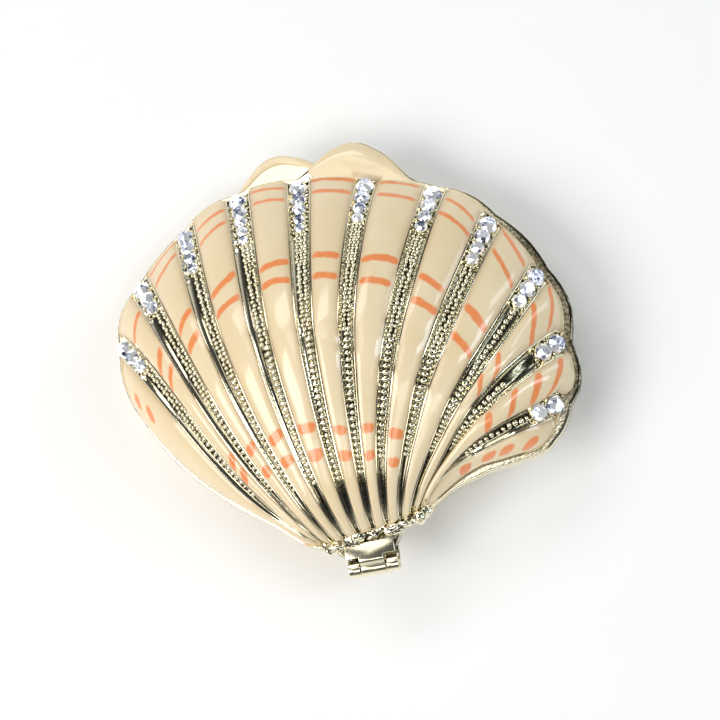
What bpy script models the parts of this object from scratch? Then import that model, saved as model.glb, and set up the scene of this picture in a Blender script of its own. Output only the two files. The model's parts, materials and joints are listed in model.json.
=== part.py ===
"""Scallop shell trinket box: a domed, ribbed lid hinged on a plainer bowl of the same outline.

Units are metres and +Z is up. The lip that opens is at -Y and the hinge is at +Y, with its axis along X.
The shell is drawn about the middle of its outline, and set down over the origin at the end.
"""
import math

import bmesh
import bpy
from mathutils import Matrix, Vector

MM = 0.001

# Outline of the shell, where the dome meets its rim
SHELL_WIDTH = 64.0 * MM
# Angle in degrees and reach as a share of half the width: hinge at 90, ear and neck at 150 to 120
RIM_SHAPE = (
    (0, 0.97), (20, 0.88), (40, 0.82), (60, 0.81), (75, 0.865), (90, 0.83), (105, 0.82), (120, 0.80),
    (130, 0.83), (137, 0.91), (144, 1.0), (152, 1.015), (160, 1.035), (170, 1.0), (180, 0.995),
    (200, 0.92), (220, 0.885), (240, 0.81), (260, 0.80), (280, 0.84), (300, 0.915), (320, 0.955), (340, 1.03),
)

# Rim, walls and clearances
FLANGE_WIDTH = 0.5 * MM
FLANGE_AT_EAR = 1.3 * MM
EAR_SIDE = (118.0, 130.0, 195.0, 225.0)
FLANGE_THICKNESS = 1.0 * MM
RIM_LAND = 2.2 * MM
LID_WALL = 1.7 * MM
FLOOR_WALL = 1.7 * MM
SEAM_GAP = 0.3 * MM
PIECE_GAP = 0.3 * MM
SCALLOP = 0.45 * MM

# Domes of the lid and of the bowl
LID_DOME = 12.4 * MM
BOWL_DOME = 10.2 * MM
BOWL_DEPTH = 9.8 * MM
DOME_FULLNESS = 1.45
SHOULDER_AT_HINGE = 1.95
SHOULDER_AT_LIP = 1.03

# Fan of channels: rim angle in degrees, bow and sway of the line to one side in hundredths of the
# shell's width, and breadth as a share of the usual one
CHANNELS = (
    (346.5, 1.3, 1.5, 0.85), (330.0, 1.3, 1.1, 1.1), (311.0, 2.4, 0.6, 1.1), (292.5, 1.3, 0.7, 1.15),
    (273.0, 0.3, 0.4, 1.05), (250.0, 1.4, -0.1, 0.9), (228.0, 1.6, 0.5, 0.92), (209.0, 0.9, 0.6, 0.92),
    (189.0, 0.6, 0.7, 0.88), (170.0, 2.3, 0.2, 1.0), (155.5, 2.0, 0.9, 0.8),
)
# Bow is then 1 halfway along the line, and sway about 1 at its widest
BOW_SCALE = 4
SWAY_SCALE = 10
CHANNEL_AT_RIM = 3.7 * MM
CHANNEL_AT_BEAK = 0.5 * MM
CHANNEL_SPREAD = 0.45
CHANNEL_SHARE = 0.54
CHANNEL_DEPTH = 0.55 * MM
CHANNEL_SIDE = 0.22 * MM
CROWDING = 4
RIB_CROWN = 0.55 * MM
BOWL_GROOVE = 0.4 * MM
BOWL_GROOVE_BREADTH = 0.4
# Share of the full crown and depth that is left where the lines meet
CROWN_AT_BEAK = 0.45
DEPTH_AT_BEAK = 0.5
BEAK_ANGLE = 93.0
BEAK_HALF_ANGLE = 17.5
BEAK_SPREAD = 73.0
BEAK_REACH = 0.985
LEFT_SIDE = (71.0, 8.0)
RIGHT_SIDE = (114.0, 146.0)

# Lips for a thumb: middle angle, half angle and reach past the flange
LID_LIP_REACH = 5.1 * MM
BOWL_LIP_REACH = 4.5 * MM
LID_LIP = (254.5, 20.0, LID_LIP_REACH)
BOWL_LIP = (277.0, 18.0, BOWL_LIP_REACH)
LIP_CROWN = 0.7 * MM
CROWN_PLACE = 0.6
HUMP_POWER = 1.6

# Hinge, rolled from sheet round a pin
HINGE_WIDTH = 7.0 * MM
HINGE_OFFSET = -0.1 * MM
KNUCKLE_WIDTH = 3.4 * MM
SHEET = 0.5 * MM
PIN_RADIUS = 0.45 * MM
PIN_CLEARANCE = 0.3 * MM
TAB_REACH = 2.0 * MM
TAB_HALF_ANGLE = 12.0
TAB_FLATNESS = 2.2
LEAF_LAP = 1.5 * MM
KNUCKLE_CLEARANCE = 0.45 * MM
ROLL_TURN = 200.0

# Rhinestones, set along each channel from the rim
STONE_COUNTS = (3, 3, 4, 5, 5, 4, 4, 4, 3, 2, 2)
FIRST_STONE = 2.5 * MM
STONE_SHRINK = 0.87
STONE_SPACE = 0.3 * MM
STONE_FROM_RIM = 1.7 * MM
STONE_HEIGHT = 0.5
TABLE_WIDTH = 0.58
GIRDLE_HEIGHT = 0.3
STONE_FOOT = 0.72

# How finely the surfaces are cut
LID_ROWS = 17
BOWL_ROWS = 12
RIM_STEPS = 120
CAVITY_STEPS = 60
CAVITY_RINGS = 6
STONE_SIDES = 8
ROLL_STEPS = 14
PIN_SIDES = 16
PLACING_STEPS = 400
LID_RIB_SHARES = (0.25, 0.5, 0.75)
BOWL_RIB_SHARES = (0.5,)
LID_FLOOR_COLUMNS = (1.0, -1.0)
BOWL_FLOOR_COLUMNS = (0.0,)
SHARP_ANGLE = 35.0
SHARP_ANGLE_OF_STONE = 10.0

# How far apart points are taken to find a slope, the first and the last three as shares of a line
LINE_STEP = 0.01
PLAN_STEP = 0.02 * MM
STEEPEST_SHARE = 0.999
SLOPE_INWARD = 0.004
SLOPE_OUTWARD = 0.001

FINISHES = {
    "pale_gold": ((0.72, 0.60, 0.33), 0.2, 1.0),
    "cream_enamel": ((0.83, 0.71, 0.52), 0.15, 0.0),
    "rhinestone": ((0.85, 0.9, 0.98), 0.05, 0.0),
}


def clear_scene():
    """Remove every object that the new file starts with."""
    for thing in list(bpy.data.objects):
        bpy.data.objects.remove(thing, do_unlink=True)


def finish(name):
    """Return the named material, made once."""
    if name in bpy.data.materials:
        return bpy.data.materials[name]
    colour, roughness, metallic = FINISHES[name]
    material = bpy.data.materials.new(name)
    material.use_nodes = True
    shader = material.node_tree.nodes["Principled BSDF"]
    shader.inputs["Base Color"].default_value = (*colour, 1.0)
    shader.inputs["Roughness"].default_value = roughness
    shader.inputs["Metallic"].default_value = metallic
    return material


def mix(start, end, share):
    """Return the value at a share of the way from start to end."""
    return start + (end - start) * share


def swell(angle, middle, half_angle):
    """Return a smooth hump, 1 at the middle angle and 0 past the half angle, in degrees."""
    away = (angle - middle + 180.0) % 360.0 - 180.0
    if abs(away) >= half_angle:
        return 0.0
    return math.cos(math.pi / 2 * away / half_angle) ** HUMP_POWER


def dome_radius(angle):
    """Return the dome's reach at an angle in degrees, by a smooth curve through RIM_SHAPE."""
    angle = angle % 360.0
    count = len(RIM_SHAPE)
    place = max(index for index in range(count) if RIM_SHAPE[index][0] <= angle)
    knots = []
    for step in range(-1, 3):
        turns, index = divmod(place + step, count)
        knots.append((RIM_SHAPE[index][0] + 360.0 * turns, RIM_SHAPE[index][1]))
    (a0, r0), (a1, r1), (a2, r2), (a3, r3) = knots
    span = a2 - a1
    share = (angle - a1) / span
    slope_in = (r2 - r0) / (a2 - a0) * span
    slope_out = (r3 - r1) / (a3 - a1) * span
    square = share * share
    cube = square * share
    reach = (2 * cube - 3 * square + 1) * r1 + (cube - 2 * square + share) * slope_in
    reach += (3 * square - 2 * cube) * r2 + (cube - square) * slope_out
    return reach * SHELL_WIDTH / 2


def polar(share, angle):
    """Return the plan point at a share of the dome's reach."""
    reach = share * dome_radius(angle)
    return Vector((reach * math.cos(math.radians(angle)), reach * math.sin(math.radians(angle))))


def to_polar(point):
    """Return the share of the dome's reach and the angle of a plan point."""
    angle = math.degrees(math.atan2(point.y, point.x)) % 360.0
    return point.length / dome_radius(angle), angle


def rise(share, angle):
    """Return the dome's height, 1 at its top and 0 at the rim: steep by the hinge, gentle by the lip."""
    toward_lip = (1.0 - math.sin(math.radians(angle))) / 2
    shoulder = mix(SHOULDER_AT_HINGE, SHOULDER_AT_LIP, toward_lip)
    return max(0.0, 1.0 - share ** DOME_FULLNESS) ** (1.0 / shoulder)


def dome_normal(share, angle, height):
    """Return the dome's outward normal."""
    inside = min(share, STEEPEST_SHARE)
    low = max(inside - SLOPE_INWARD, 0.0)
    high = min(inside + SLOPE_OUTWARD, 1.0)
    steep = (rise(high, angle) - rise(low, angle)) / (high - low) * height
    here = polar(inside, angle)
    across = Vector((PLAN_STEP, 0.0))
    ahead = Vector((0.0, PLAN_STEP))
    share_x = to_polar(here + across)[0] - to_polar(here - across)[0]
    share_y = to_polar(here + ahead)[0] - to_polar(here - ahead)[0]
    slope = Vector((share_x, share_y)) / (2 * PLAN_STEP) * steep
    if share >= 1.0:
        return Vector((-slope.x, -slope.y, 0.0)).normalized()
    return Vector((-slope.x, -slope.y, 1.0)).normalized()


def channel_line(number, along):
    """Return the plan point of a channel's middle, from the beak at 0 to the rim at 1."""
    rim_angle, bow, sway, _ = CHANNELS[number]
    half_fan = (len(CHANNELS) - 1) / 2
    spread = math.radians(BEAK_SPREAD)
    turn = spread * (number - half_fan) / half_fan
    start = polar(BEAK_REACH, BEAK_ANGLE + BEAK_HALF_ANGLE * math.sin(turn) / math.sin(spread))
    end = polar(1.0, rim_angle)
    run = end - start
    sideways = Vector((-run.y, run.x)).normalized() * SHELL_WIDTH / 100
    bend = BOW_SCALE * along * (1 - along)
    waver = SWAY_SCALE * along * (1 - along) * (1 - 2 * along)
    return start + run * along + sideways * (bow * bend + sway * waver)


def half_channel(number, along):
    """Return half the channel's width at its top, which leaves room for the ribs where lines crowd."""
    here = channel_line(number, along)
    beside = [near for near in (number - 1, number + 1) if 0 <= near < len(CHANNELS)]
    room = CHANNEL_SHARE * min((channel_line(near, along) - here).length for near in beside)
    wide = mix(CHANNEL_AT_BEAK, CHANNEL_AT_RIM * CHANNELS[number][3], along ** CHANNEL_SPREAD)
    return wide * room / (wide ** CROWDING + room ** CROWDING) ** (1 / CROWDING) / 2


def channel_edge(number, along, offset):
    """Return the reach share and angle of a point beside a channel's middle line."""
    before = channel_line(number, max(along - LINE_STEP, 0.0))
    after = channel_line(number, min(along + LINE_STEP, 1.0))
    run = (after - before).normalized()
    share, angle = to_polar(channel_line(number, along) + Vector((-run.y, run.x)) * offset)
    if along >= 1.0:
        share = 1.0
    return min(share, 1.0), angle


def side_edge(ends, along):
    """Return the reach share and angle on the rim beside the outermost ribs."""
    return 1.0, mix(ends[0], ends[1], along)


def blend_polar(first, second, share):
    """Return a point between two points given by reach share and angle."""
    turn = (second[1] - first[1] + 180.0) % 360.0 - 180.0
    return mix(first[0], second[0], share), first[1] + turn * share


def fan_row(along, rib_shares, groove, breadth, floor_columns):
    """Return one row across the fan, as reach share, angle and relief, from one side to the other."""
    row = []
    edge = side_edge(LEFT_SIDE, along)
    outer_side = True
    crown = RIB_CROWN * mix(CROWN_AT_BEAK, 1.0, along)
    deep = groove * mix(DEPTH_AT_BEAK, 1.0, along)
    row.append((*edge, 0.0))
    for number in range(len(CHANNELS) + 1):
        last = number == len(CHANNELS)
        wide = 0.0 if last else half_channel(number, along) * breadth
        near = side_edge(RIGHT_SIDE, along) if last else channel_edge(number, along, wide)
        for share in rib_shares:
            arch = 1.0 - (2 * share - 1) ** 2
            if outer_side:
                arch = share * (1.0 - share) * 4
            row.append((*blend_polar(edge, near, share), crown * arch))
        row.append((*near, 0.0))
        if last:
            break
        floor = wide - min(CHANNEL_SIDE, wide / 2)
        for column in floor_columns:
            row.append((*channel_edge(number, along, floor * column), -deep))
        edge = channel_edge(number, along, -wide)
        row.append((*edge, 0.0))
        outer_side = False
    return row


def rib_phase(angle):
    """Return 0 in a channel and 1 in the middle of a rib, at the rim."""
    stops = [LEFT_SIDE[1] + 360.0] + [channel[0] for channel in CHANNELS] + [RIGHT_SIDE[1]]
    turned = angle if angle > LEFT_SIDE[1] else angle + 360.0
    for upper, lower in zip(stops, stops[1:]):
        if lower <= turned <= upper:
            return math.sin(math.pi * (turned - lower) / (upper - lower))
    return 0.0


def hinge_angle():
    """Return the angle at which the hinge stands."""
    return math.degrees(math.atan2(dome_radius(90.0), HINGE_OFFSET))


def ledge_reach(angle, lip):
    """Return how far the rim and its lip reach past the dome: furthest on the side with the ear."""
    begin, full, fade, end = EAR_SIDE
    turned = angle % 360.0
    rising = min(max((turned - begin) / (full - begin), 0.0), 1.0)
    falling = min(max((end - turned) / (end - fade), 0.0), 1.0)
    share = rising * falling
    reach = mix(FLANGE_WIDTH, FLANGE_AT_EAR, share * share * (3 - 2 * share)) + SCALLOP * rib_phase(angle)
    return reach + lip[2] * swell(angle, lip[0], lip[1])


def flange_reach(angle, lip):
    """Return how far the rim reaches past the dome, with the tab that carries the hinge."""
    tab = min(1.0, TAB_FLATNESS * swell(angle, hinge_angle(), TAB_HALF_ANGLE))
    return ledge_reach(angle, lip) + TAB_REACH * tab


def ring(shape, steps, reach_at, height_at):
    """Return a closed loop of vertices round the shell, in order of rising angle."""
    loop = []
    for step in range(steps):
        angle = LEFT_SIDE[1] + 360.0 * step / steps
        reach = reach_at(angle)
        turn = math.radians(angle)
        place = (reach * math.cos(turn), reach * math.sin(turn), height_at(angle))
        loop.append((angle, shape.verts.new(place)))
    return loop


def join_rings(shape, first, second):
    """Fill the band between two closed loops of any two counts, both in order of rising angle."""
    first_at = second_at = 0
    while first_at < len(first) or second_at < len(second):
        next_first = first[first_at + 1][0] if first_at + 1 < len(first) else first[0][0] + 360.0
        next_second = second[second_at + 1][0] if second_at + 1 < len(second) else second[0][0] + 360.0
        one = first[first_at % len(first)][1]
        two = second[second_at % len(second)][1]
        if second_at >= len(second) or (first_at < len(first) and next_first <= next_second):
            shape.faces.new((one, first[(first_at + 1) % len(first)][1], two))
            first_at += 1
        else:
            shape.faces.new((one, second[(second_at + 1) % len(second)][1], two))
            second_at += 1


def ribbed_skin(shape, height, rows, rib_shares, groove, breadth, floor_columns):
    """Make the ribbed dome and return its edge as a loop in order of rising angle."""
    grid = []
    for row_number in range(rows + 1):
        along = (1 - math.cos(math.pi * row_number / rows)) / 2
        line = []
        for share, angle, relief in fan_row(along, rib_shares, groove, breadth, floor_columns):
            plan = polar(share, angle)
            foot = Vector((plan.x, plan.y, FLANGE_THICKNESS + height * rise(share, angle)))
            place = foot + dome_normal(share, angle, height) * relief
            if share >= 1.0:
                place.z = FLANGE_THICKNESS
            line.append(shape.verts.new(place))
        grid.append(line)
    for upper, lower in zip(grid, grid[1:]):
        for column in range(len(upper) - 1):
            shape.faces.new((upper[column], upper[column + 1], lower[column + 1], lower[column]))
    left = [line[0] for line in grid]
    right = [line[-1] for line in grid]
    edge = left[::-1] + grid[0][1:] + right[1:] + grid[-1][-2:0:-1]
    loop = []
    previous = LEFT_SIDE[1]
    for corner in edge:
        angle = math.degrees(math.atan2(corner.co.y, corner.co.x)) % 360.0
        while angle < previous - 90.0:
            angle += 360.0
        loop.append((angle, corner))
        previous = max(previous, angle)
    return loop


def half_shell(height, cavity_height, rows, rib_shares, groove, breadth, floor_columns, lip):
    """Build one half of the box, seam at z = 0 and dome upwards, as one closed hollow body."""
    shape = bmesh.new()
    skin = ribbed_skin(shape, height, rows, rib_shares, groove, breadth, floor_columns)

    def halfway(angle):
        return dome_radius(angle) + ledge_reach(angle, lip) * CROWN_PLACE

    def crown(angle):
        return FLANGE_THICKNESS + LIP_CROWN * swell(angle, lip[0], lip[1])

    def outside(angle):
        return dome_radius(angle) + flange_reach(angle, lip)

    middle = ring(shape, RIM_STEPS, halfway, crown)
    upper = ring(shape, RIM_STEPS, outside, lambda angle: FLANGE_THICKNESS)
    lower = ring(shape, RIM_STEPS, outside, lambda angle: 0.0)
    join_rings(shape, skin, middle)
    join_rings(shape, middle, upper)
    join_rings(shape, upper, lower)
    outer = lower
    for number in range(CAVITY_RINGS):
        share = math.cos(math.pi / 2 * number / CAVITY_RINGS)

        def inside(angle, share=share):
            return (dome_radius(angle) - RIM_LAND) * share

        def depth(angle, share=share):
            return cavity_height * rise(share, angle)

        inner = ring(shape, CAVITY_STEPS, inside, depth)
        join_rings(shape, outer, inner)
        outer = inner
    top = shape.verts.new((0.0, 0.0, cavity_height))
    for (_, first), (_, second) in zip(outer, outer[1:] + outer[:1]):
        shape.faces.new((first, second, top))
    bmesh.ops.recalc_face_normals(shape, faces=shape.faces)
    return shape


def add_piece(name, shape, material, parent=None, sharp=SHARP_ANGLE):
    """Make an object of a shape given in place, smooth where its faces turn little."""
    bmesh.ops.triangulate(shape, faces=shape.faces)
    if parent is not None:
        bmesh.ops.translate(shape, verts=shape.verts, vec=-parent.location)
    mesh = bpy.data.meshes.new(name)
    shape.to_mesh(mesh)
    shape.free()
    mesh.materials.append(finish(material))
    mesh.shade_smooth()
    mesh.set_sharp_from_angle(angle=math.radians(sharp))
    thing = bpy.data.objects.new(name, mesh)
    bpy.context.collection.objects.link(thing)
    thing.parent = parent
    return thing


def make_lid(seam, pivot):
    """Make the ribbed lid with its channels and its thumb lip."""
    cavity = LID_DOME + FLANGE_THICKNESS - LID_WALL
    shape = half_shell(LID_DOME, cavity, LID_ROWS, LID_RIB_SHARES, CHANNEL_DEPTH, 1.0, LID_FLOOR_COLUMNS,
                       LID_LIP)
    bmesh.ops.translate(shape, verts=shape.verts, vec=(0.0, 0.0, seam + SEAM_GAP / 2))
    return add_piece("lid", shape, "cream_enamel", pivot)


def make_bowl(seam):
    """Make the plainer lower half, cut flat below to stand on."""
    cavity = BOWL_DEPTH - SEAM_GAP / 2 - FLOOR_WALL
    shape = half_shell(BOWL_DOME, cavity, BOWL_ROWS, BOWL_RIB_SHARES, BOWL_GROOVE, BOWL_GROOVE_BREADTH,
                       BOWL_FLOOR_COLUMNS, BOWL_LIP)
    bmesh.ops.scale(shape, verts=shape.verts, vec=(1.0, 1.0, -1.0))
    bmesh.ops.translate(shape, verts=shape.verts, vec=(0.0, 0.0, seam - SEAM_GAP / 2))
    everything = list(shape.verts) + list(shape.edges) + list(shape.faces)
    cut = bmesh.ops.bisect_plane(shape, geom=everything, plane_co=(0.0, 0.0, 0.0),
                                 plane_no=(0.0, 0.0, -1.0), clear_outer=True)
    rim = [part for part in cut["geom_cut"] if isinstance(part, bmesh.types.BMEdge)]
    bmesh.ops.edgeloop_fill(shape, edges=rim)
    bmesh.ops.recalc_face_normals(shape, faces=shape.faces)
    return add_piece("bowl", shape, "cream_enamel")


def hinge_line(seam):
    """Return a point on the hinge axis, in the middle of the hinge."""
    tab_edge = dome_radius(90.0) + FLANGE_WIDTH + TAB_REACH
    back = tab_edge + KNUCKLE_CLEARANCE + PIN_RADIUS + PIN_CLEARANCE + SHEET
    return Vector((HINGE_OFFSET, back, seam))


def leaf_path():
    """Return the sheet's middle line from its flat end round the pin, about the hinge axis."""
    radius = PIN_RADIUS + PIN_CLEARANCE + SHEET / 2
    height = SEAM_GAP / 2 + FLANGE_THICKNESS + PIECE_GAP + SHEET / 2
    bend = -(KNUCKLE_CLEARANCE + PIN_RADIUS + PIN_CLEARANCE + SHEET)
    away = math.hypot(bend, height)
    touch = math.atan2(height, bend) - math.acos(radius / away)
    path = [Vector((bend - LEAF_LAP, height)), Vector((bend, height))]
    sweep = touch + math.radians(ROLL_TURN)
    for step in range(ROLL_STEPS + 1):
        turn = touch - sweep * step / ROLL_STEPS
        path.append(Vector((radius * math.cos(turn), radius * math.sin(turn))))
    return path


def sheet_sides(path):
    """Return the two faces of a bent sheet whose middle line is the path."""
    upper, lower = [], []
    for index, point in enumerate(path):
        before = path[max(index - 1, 0)]
        after = path[min(index + 1, len(path) - 1)]
        run = (after - before).normalized()
        side = Vector((-run.y, run.x)) * SHEET / 2
        upper.append(point + side)
        lower.append(point - side)
    return upper, lower


def rolled_leaf(stations, kept, flip):
    """Cut a sheet to a pattern of cells and roll it round the axis, as one closed body."""
    shape = bmesh.new()
    faces_of_sheet = sheet_sides(leaf_path())
    spans = len(faces_of_sheet[0]) - 1
    corners = {}

    def corner(side, place, station):
        key = (side, place, station)
        if key not in corners:
            point = faces_of_sheet[side][place]
            corners[key] = shape.verts.new((stations[station], point.x, point.y * flip))
        return corners[key]

    def present(place, station):
        inside = 0 <= place < spans and 0 <= station < len(stations) - 1
        return inside and (place == 0 or station in kept)

    for place in range(spans):
        for station in range(len(stations) - 1):
            if not present(place, station):
                continue
            for side in (0, 1):
                shape.faces.new([corner(side, place, station), corner(side, place + 1, station),
                                 corner(side, place + 1, station + 1), corner(side, place, station + 1)])
            for end, beyond in ((place, place - 1), (place + 1, place + 1)):
                if not present(beyond, station):
                    shape.faces.new([corner(0, end, station), corner(0, end, station + 1),
                                     corner(1, end, station + 1), corner(1, end, station)])
            for end, beyond in ((station, station - 1), (station + 1, station + 1)):
                if not present(place, beyond):
                    shape.faces.new([corner(0, place, end), corner(0, place + 1, end),
                                     corner(1, place + 1, end), corner(1, place, end)])
    bmesh.ops.recalc_face_normals(shape, faces=shape.faces)
    return shape


def make_hinge(seam, pivot):
    """Make the two rolled leaves and the pin that holds them."""
    axis = hinge_line(seam)
    outer, inner = HINGE_WIDTH / 2, KNUCKLE_WIDTH / 2
    lid_leaf = rolled_leaf((-outer, -inner, inner, outer), (1,), 1.0)
    knuckle = inner + PIECE_GAP
    bowl_leaf = rolled_leaf((-outer, -knuckle, knuckle, outer), (0, 2), -1.0)
    pin = bmesh.new()
    lengthwise = Matrix.Rotation(math.pi / 2, 4, "Y")
    bmesh.ops.create_cone(pin, cap_ends=True, segments=PIN_SIDES, radius1=PIN_RADIUS,
                          radius2=PIN_RADIUS, depth=HINGE_WIDTH, matrix=lengthwise)
    for shape in (lid_leaf, bowl_leaf, pin):
        bmesh.ops.translate(shape, verts=shape.verts, vec=axis)
    add_piece("hinge_lid_leaf", lid_leaf, "pale_gold", pivot)
    add_piece("hinge_bowl_leaf", bowl_leaf, "pale_gold")
    add_piece("hinge_pin", pin, "pale_gold")


def floor_point(number, along, seam):
    """Return the place and normal on the floor of a lid channel."""
    share, angle = to_polar(channel_line(number, along))
    share = min(share, 1.0)
    plan = polar(share, angle)
    normal = dome_normal(share, angle, LID_DOME)
    deep = CHANNEL_DEPTH * mix(DEPTH_AT_BEAK, 1.0, along)
    height = seam + SEAM_GAP / 2 + FLANGE_THICKNESS + LID_DOME * rise(share, angle)
    return Vector((plan.x, plan.y, height)) - normal * deep, normal


def stone_shape(width):
    """Build a flat-backed faceted stone, standing on z = 0."""
    shape = bmesh.new()
    rings = ((STONE_FOOT, 0.0), (1.0, GIRDLE_HEIGHT), (TABLE_WIDTH, 1.0))
    loops = []
    for level, (reach, height) in enumerate(rings):
        loop = []
        for side in range(STONE_SIDES):
            turn = 2 * math.pi * (side + 0.5 * level) / STONE_SIDES
            radius = reach * width / 2
            loop.append(shape.verts.new((radius * math.cos(turn), radius * math.sin(turn),
                                         height * STONE_HEIGHT * width)))
        loops.append(loop)
    shape.faces.new(loops[0][::-1])
    shape.faces.new(loops[2])
    for lower, upper in zip(loops, loops[1:]):
        for side in range(STONE_SIDES):
            beside = (side + 1) % STONE_SIDES
            shape.faces.new((lower[side], lower[beside], upper[side]))
            shape.faces.new((upper[side], lower[beside], upper[beside]))
    bmesh.ops.recalc_face_normals(shape, faces=shape.faces)
    return shape


def make_stones(seam, pivot):
    """Set a row of stones in each channel, the largest beside the rim."""
    for number, count in enumerate(STONE_COUNTS):
        width = FIRST_STONE
        wanted = STONE_FROM_RIM
        travelled = 0.0
        placed = 0
        here, _ = floor_point(number, 1.0, seam)
        for step in range(1, PLACING_STEPS + 1):
            along = 1.0 - step / PLACING_STEPS
            point, normal = floor_point(number, along, seam)
            travelled += (point - here).length
            here = point
            if travelled < wanted:
                continue
            name = f"rhinestone_{number + 1}_{placed + 1}"
            stone = add_piece(name, stone_shape(width), "rhinestone", sharp=SHARP_ANGLE_OF_STONE)
            turn = normal.to_track_quat("Z", "Y").to_matrix().to_4x4()
            stone.parent = pivot
            stone.matrix_local = Matrix.Translation(point + normal * PIECE_GAP - pivot.location) @ turn
            placed += 1
            if placed == count:
                break
            smaller = width * STONE_SHRINK
            wanted += (width + smaller) / 2 + STONE_SPACE
            width = smaller


def set_down():
    """Move the box so that the middle of its underside is at the origin."""
    bpy.context.view_layer.update()
    corners = []
    for thing in bpy.data.objects:
        if thing.type == "MESH":
            corners += [thing.matrix_world @ vertex.co for vertex in thing.data.vertices]
    middle_x = (min(place.x for place in corners) + max(place.x for place in corners)) / 2
    middle_y = (min(place.y for place in corners) + max(place.y for place in corners)) / 2
    lowest = min(place.z for place in corners)
    for thing in bpy.data.objects:
        if thing.parent is None:
            thing.location -= Vector((middle_x, middle_y, lowest))
    bpy.context.view_layer.update()


def main():
    """Build the box, closed."""
    clear_scene()
    seam = BOWL_DEPTH
    pivot = bpy.data.objects.new("lid_pivot", None)
    bpy.context.collection.objects.link(pivot)
    pivot.location = hinge_line(seam)
    make_bowl(seam)
    make_lid(seam, pivot)
    make_hinge(seam, pivot)
    make_stones(seam, pivot)
    set_down()


main()
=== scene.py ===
"""Looks of the scallop shell trinket box, closed and seen from above its hinge.

Cast pale gold carries cream enamel ribs with painted stripes. Between the ribs run channels with cast
beads and, by the rim, rows of rhinestones. A lumpy collar hides the rib ends, and a rolled hinge joins
the lid to a plainer bowl.
"""

import json
import logging
import math
from collections.abc import Callable, Iterator, Sequence
from contextlib import contextmanager
from dataclasses import dataclass, field
from enum import Enum
from functools import cached_property

import bpy
import numpy as np
from mathutils import Matrix, Vector


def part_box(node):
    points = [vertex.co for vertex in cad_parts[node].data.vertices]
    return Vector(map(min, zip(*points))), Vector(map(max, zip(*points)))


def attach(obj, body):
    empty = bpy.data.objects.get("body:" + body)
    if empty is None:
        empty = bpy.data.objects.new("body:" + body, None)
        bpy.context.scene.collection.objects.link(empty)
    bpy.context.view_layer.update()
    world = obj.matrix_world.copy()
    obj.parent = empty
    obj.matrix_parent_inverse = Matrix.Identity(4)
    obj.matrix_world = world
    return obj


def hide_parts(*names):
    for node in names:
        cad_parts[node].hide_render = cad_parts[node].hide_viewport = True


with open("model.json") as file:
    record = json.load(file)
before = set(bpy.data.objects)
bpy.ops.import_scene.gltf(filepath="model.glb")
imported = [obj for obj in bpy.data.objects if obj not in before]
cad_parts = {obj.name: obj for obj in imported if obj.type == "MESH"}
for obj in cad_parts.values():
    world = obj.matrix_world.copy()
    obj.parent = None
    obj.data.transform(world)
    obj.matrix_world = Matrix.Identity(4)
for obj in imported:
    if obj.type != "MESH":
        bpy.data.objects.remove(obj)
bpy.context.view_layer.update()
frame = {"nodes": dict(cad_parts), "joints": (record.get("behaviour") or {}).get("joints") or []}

MM = 0.001
LOG = logging.getLogger("shell_box")
Colour = tuple[float, float, float]
Array = np.ndarray


class Body(Enum):
    """The bodies that pieces ride on."""

    BASE = "base"
    LID = "lid"


class Slot(Enum):
    """The record's material slots."""

    SHELL = "enamelled_shell"
    GOLD = "pale_gold"
    STONE = "rhinestone"


class Half(Enum):
    """The two halves of the box, with the way in which each dome points."""

    LID = 1.0
    BOWL = -1.0


class Stroke(Enum):
    """The kinds of painted stroke, with half the width of each in millimetres."""

    THIN = 0.37
    BROAD = 0.6
    BLOB = 0.74


class Signal:
    """A number, colour or vector on its way through a material's nodes."""

    def __init__(self, graph: "Graph", socket: bpy.types.NodeSocket) -> None:
        """Wrap one output socket.

        Args:
            graph: The material's nodes.
            socket: The output that holds the value.
        """
        self.graph = graph
        self.socket = socket

    def _math(self, operation: str, *values: "Signal | float") -> "Signal":
        """Return a Math node's result on the values, in order."""
        return self.graph.node("ShaderNodeMath", {"operation": operation}, dict(enumerate(values)))

    def __add__(self, other: "Signal | float") -> "Signal":
        """Return the sum."""
        return self._math("ADD", self, other)

    def __radd__(self, other: float) -> "Signal":
        """Return the sum, with a number on the left."""
        return self._math("ADD", other, self)

    def __sub__(self, other: "Signal | float") -> "Signal":
        """Return the difference."""
        return self._math("SUBTRACT", self, other)

    def __rsub__(self, other: float) -> "Signal":
        """Return the difference, with a number on the left."""
        return self._math("SUBTRACT", other, self)

    def __mul__(self, other: "Signal | float") -> "Signal":
        """Return the product."""
        return self._math("MULTIPLY", self, other)

    def __rmul__(self, other: float) -> "Signal":
        """Return the product, with a number on the left."""
        return self._math("MULTIPLY", other, self)

    def clamped(self) -> "Signal":
        """Return the value kept between 0 and 1."""
        return self.graph.node("ShaderNodeClamp", {}, {"Value": self})


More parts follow.
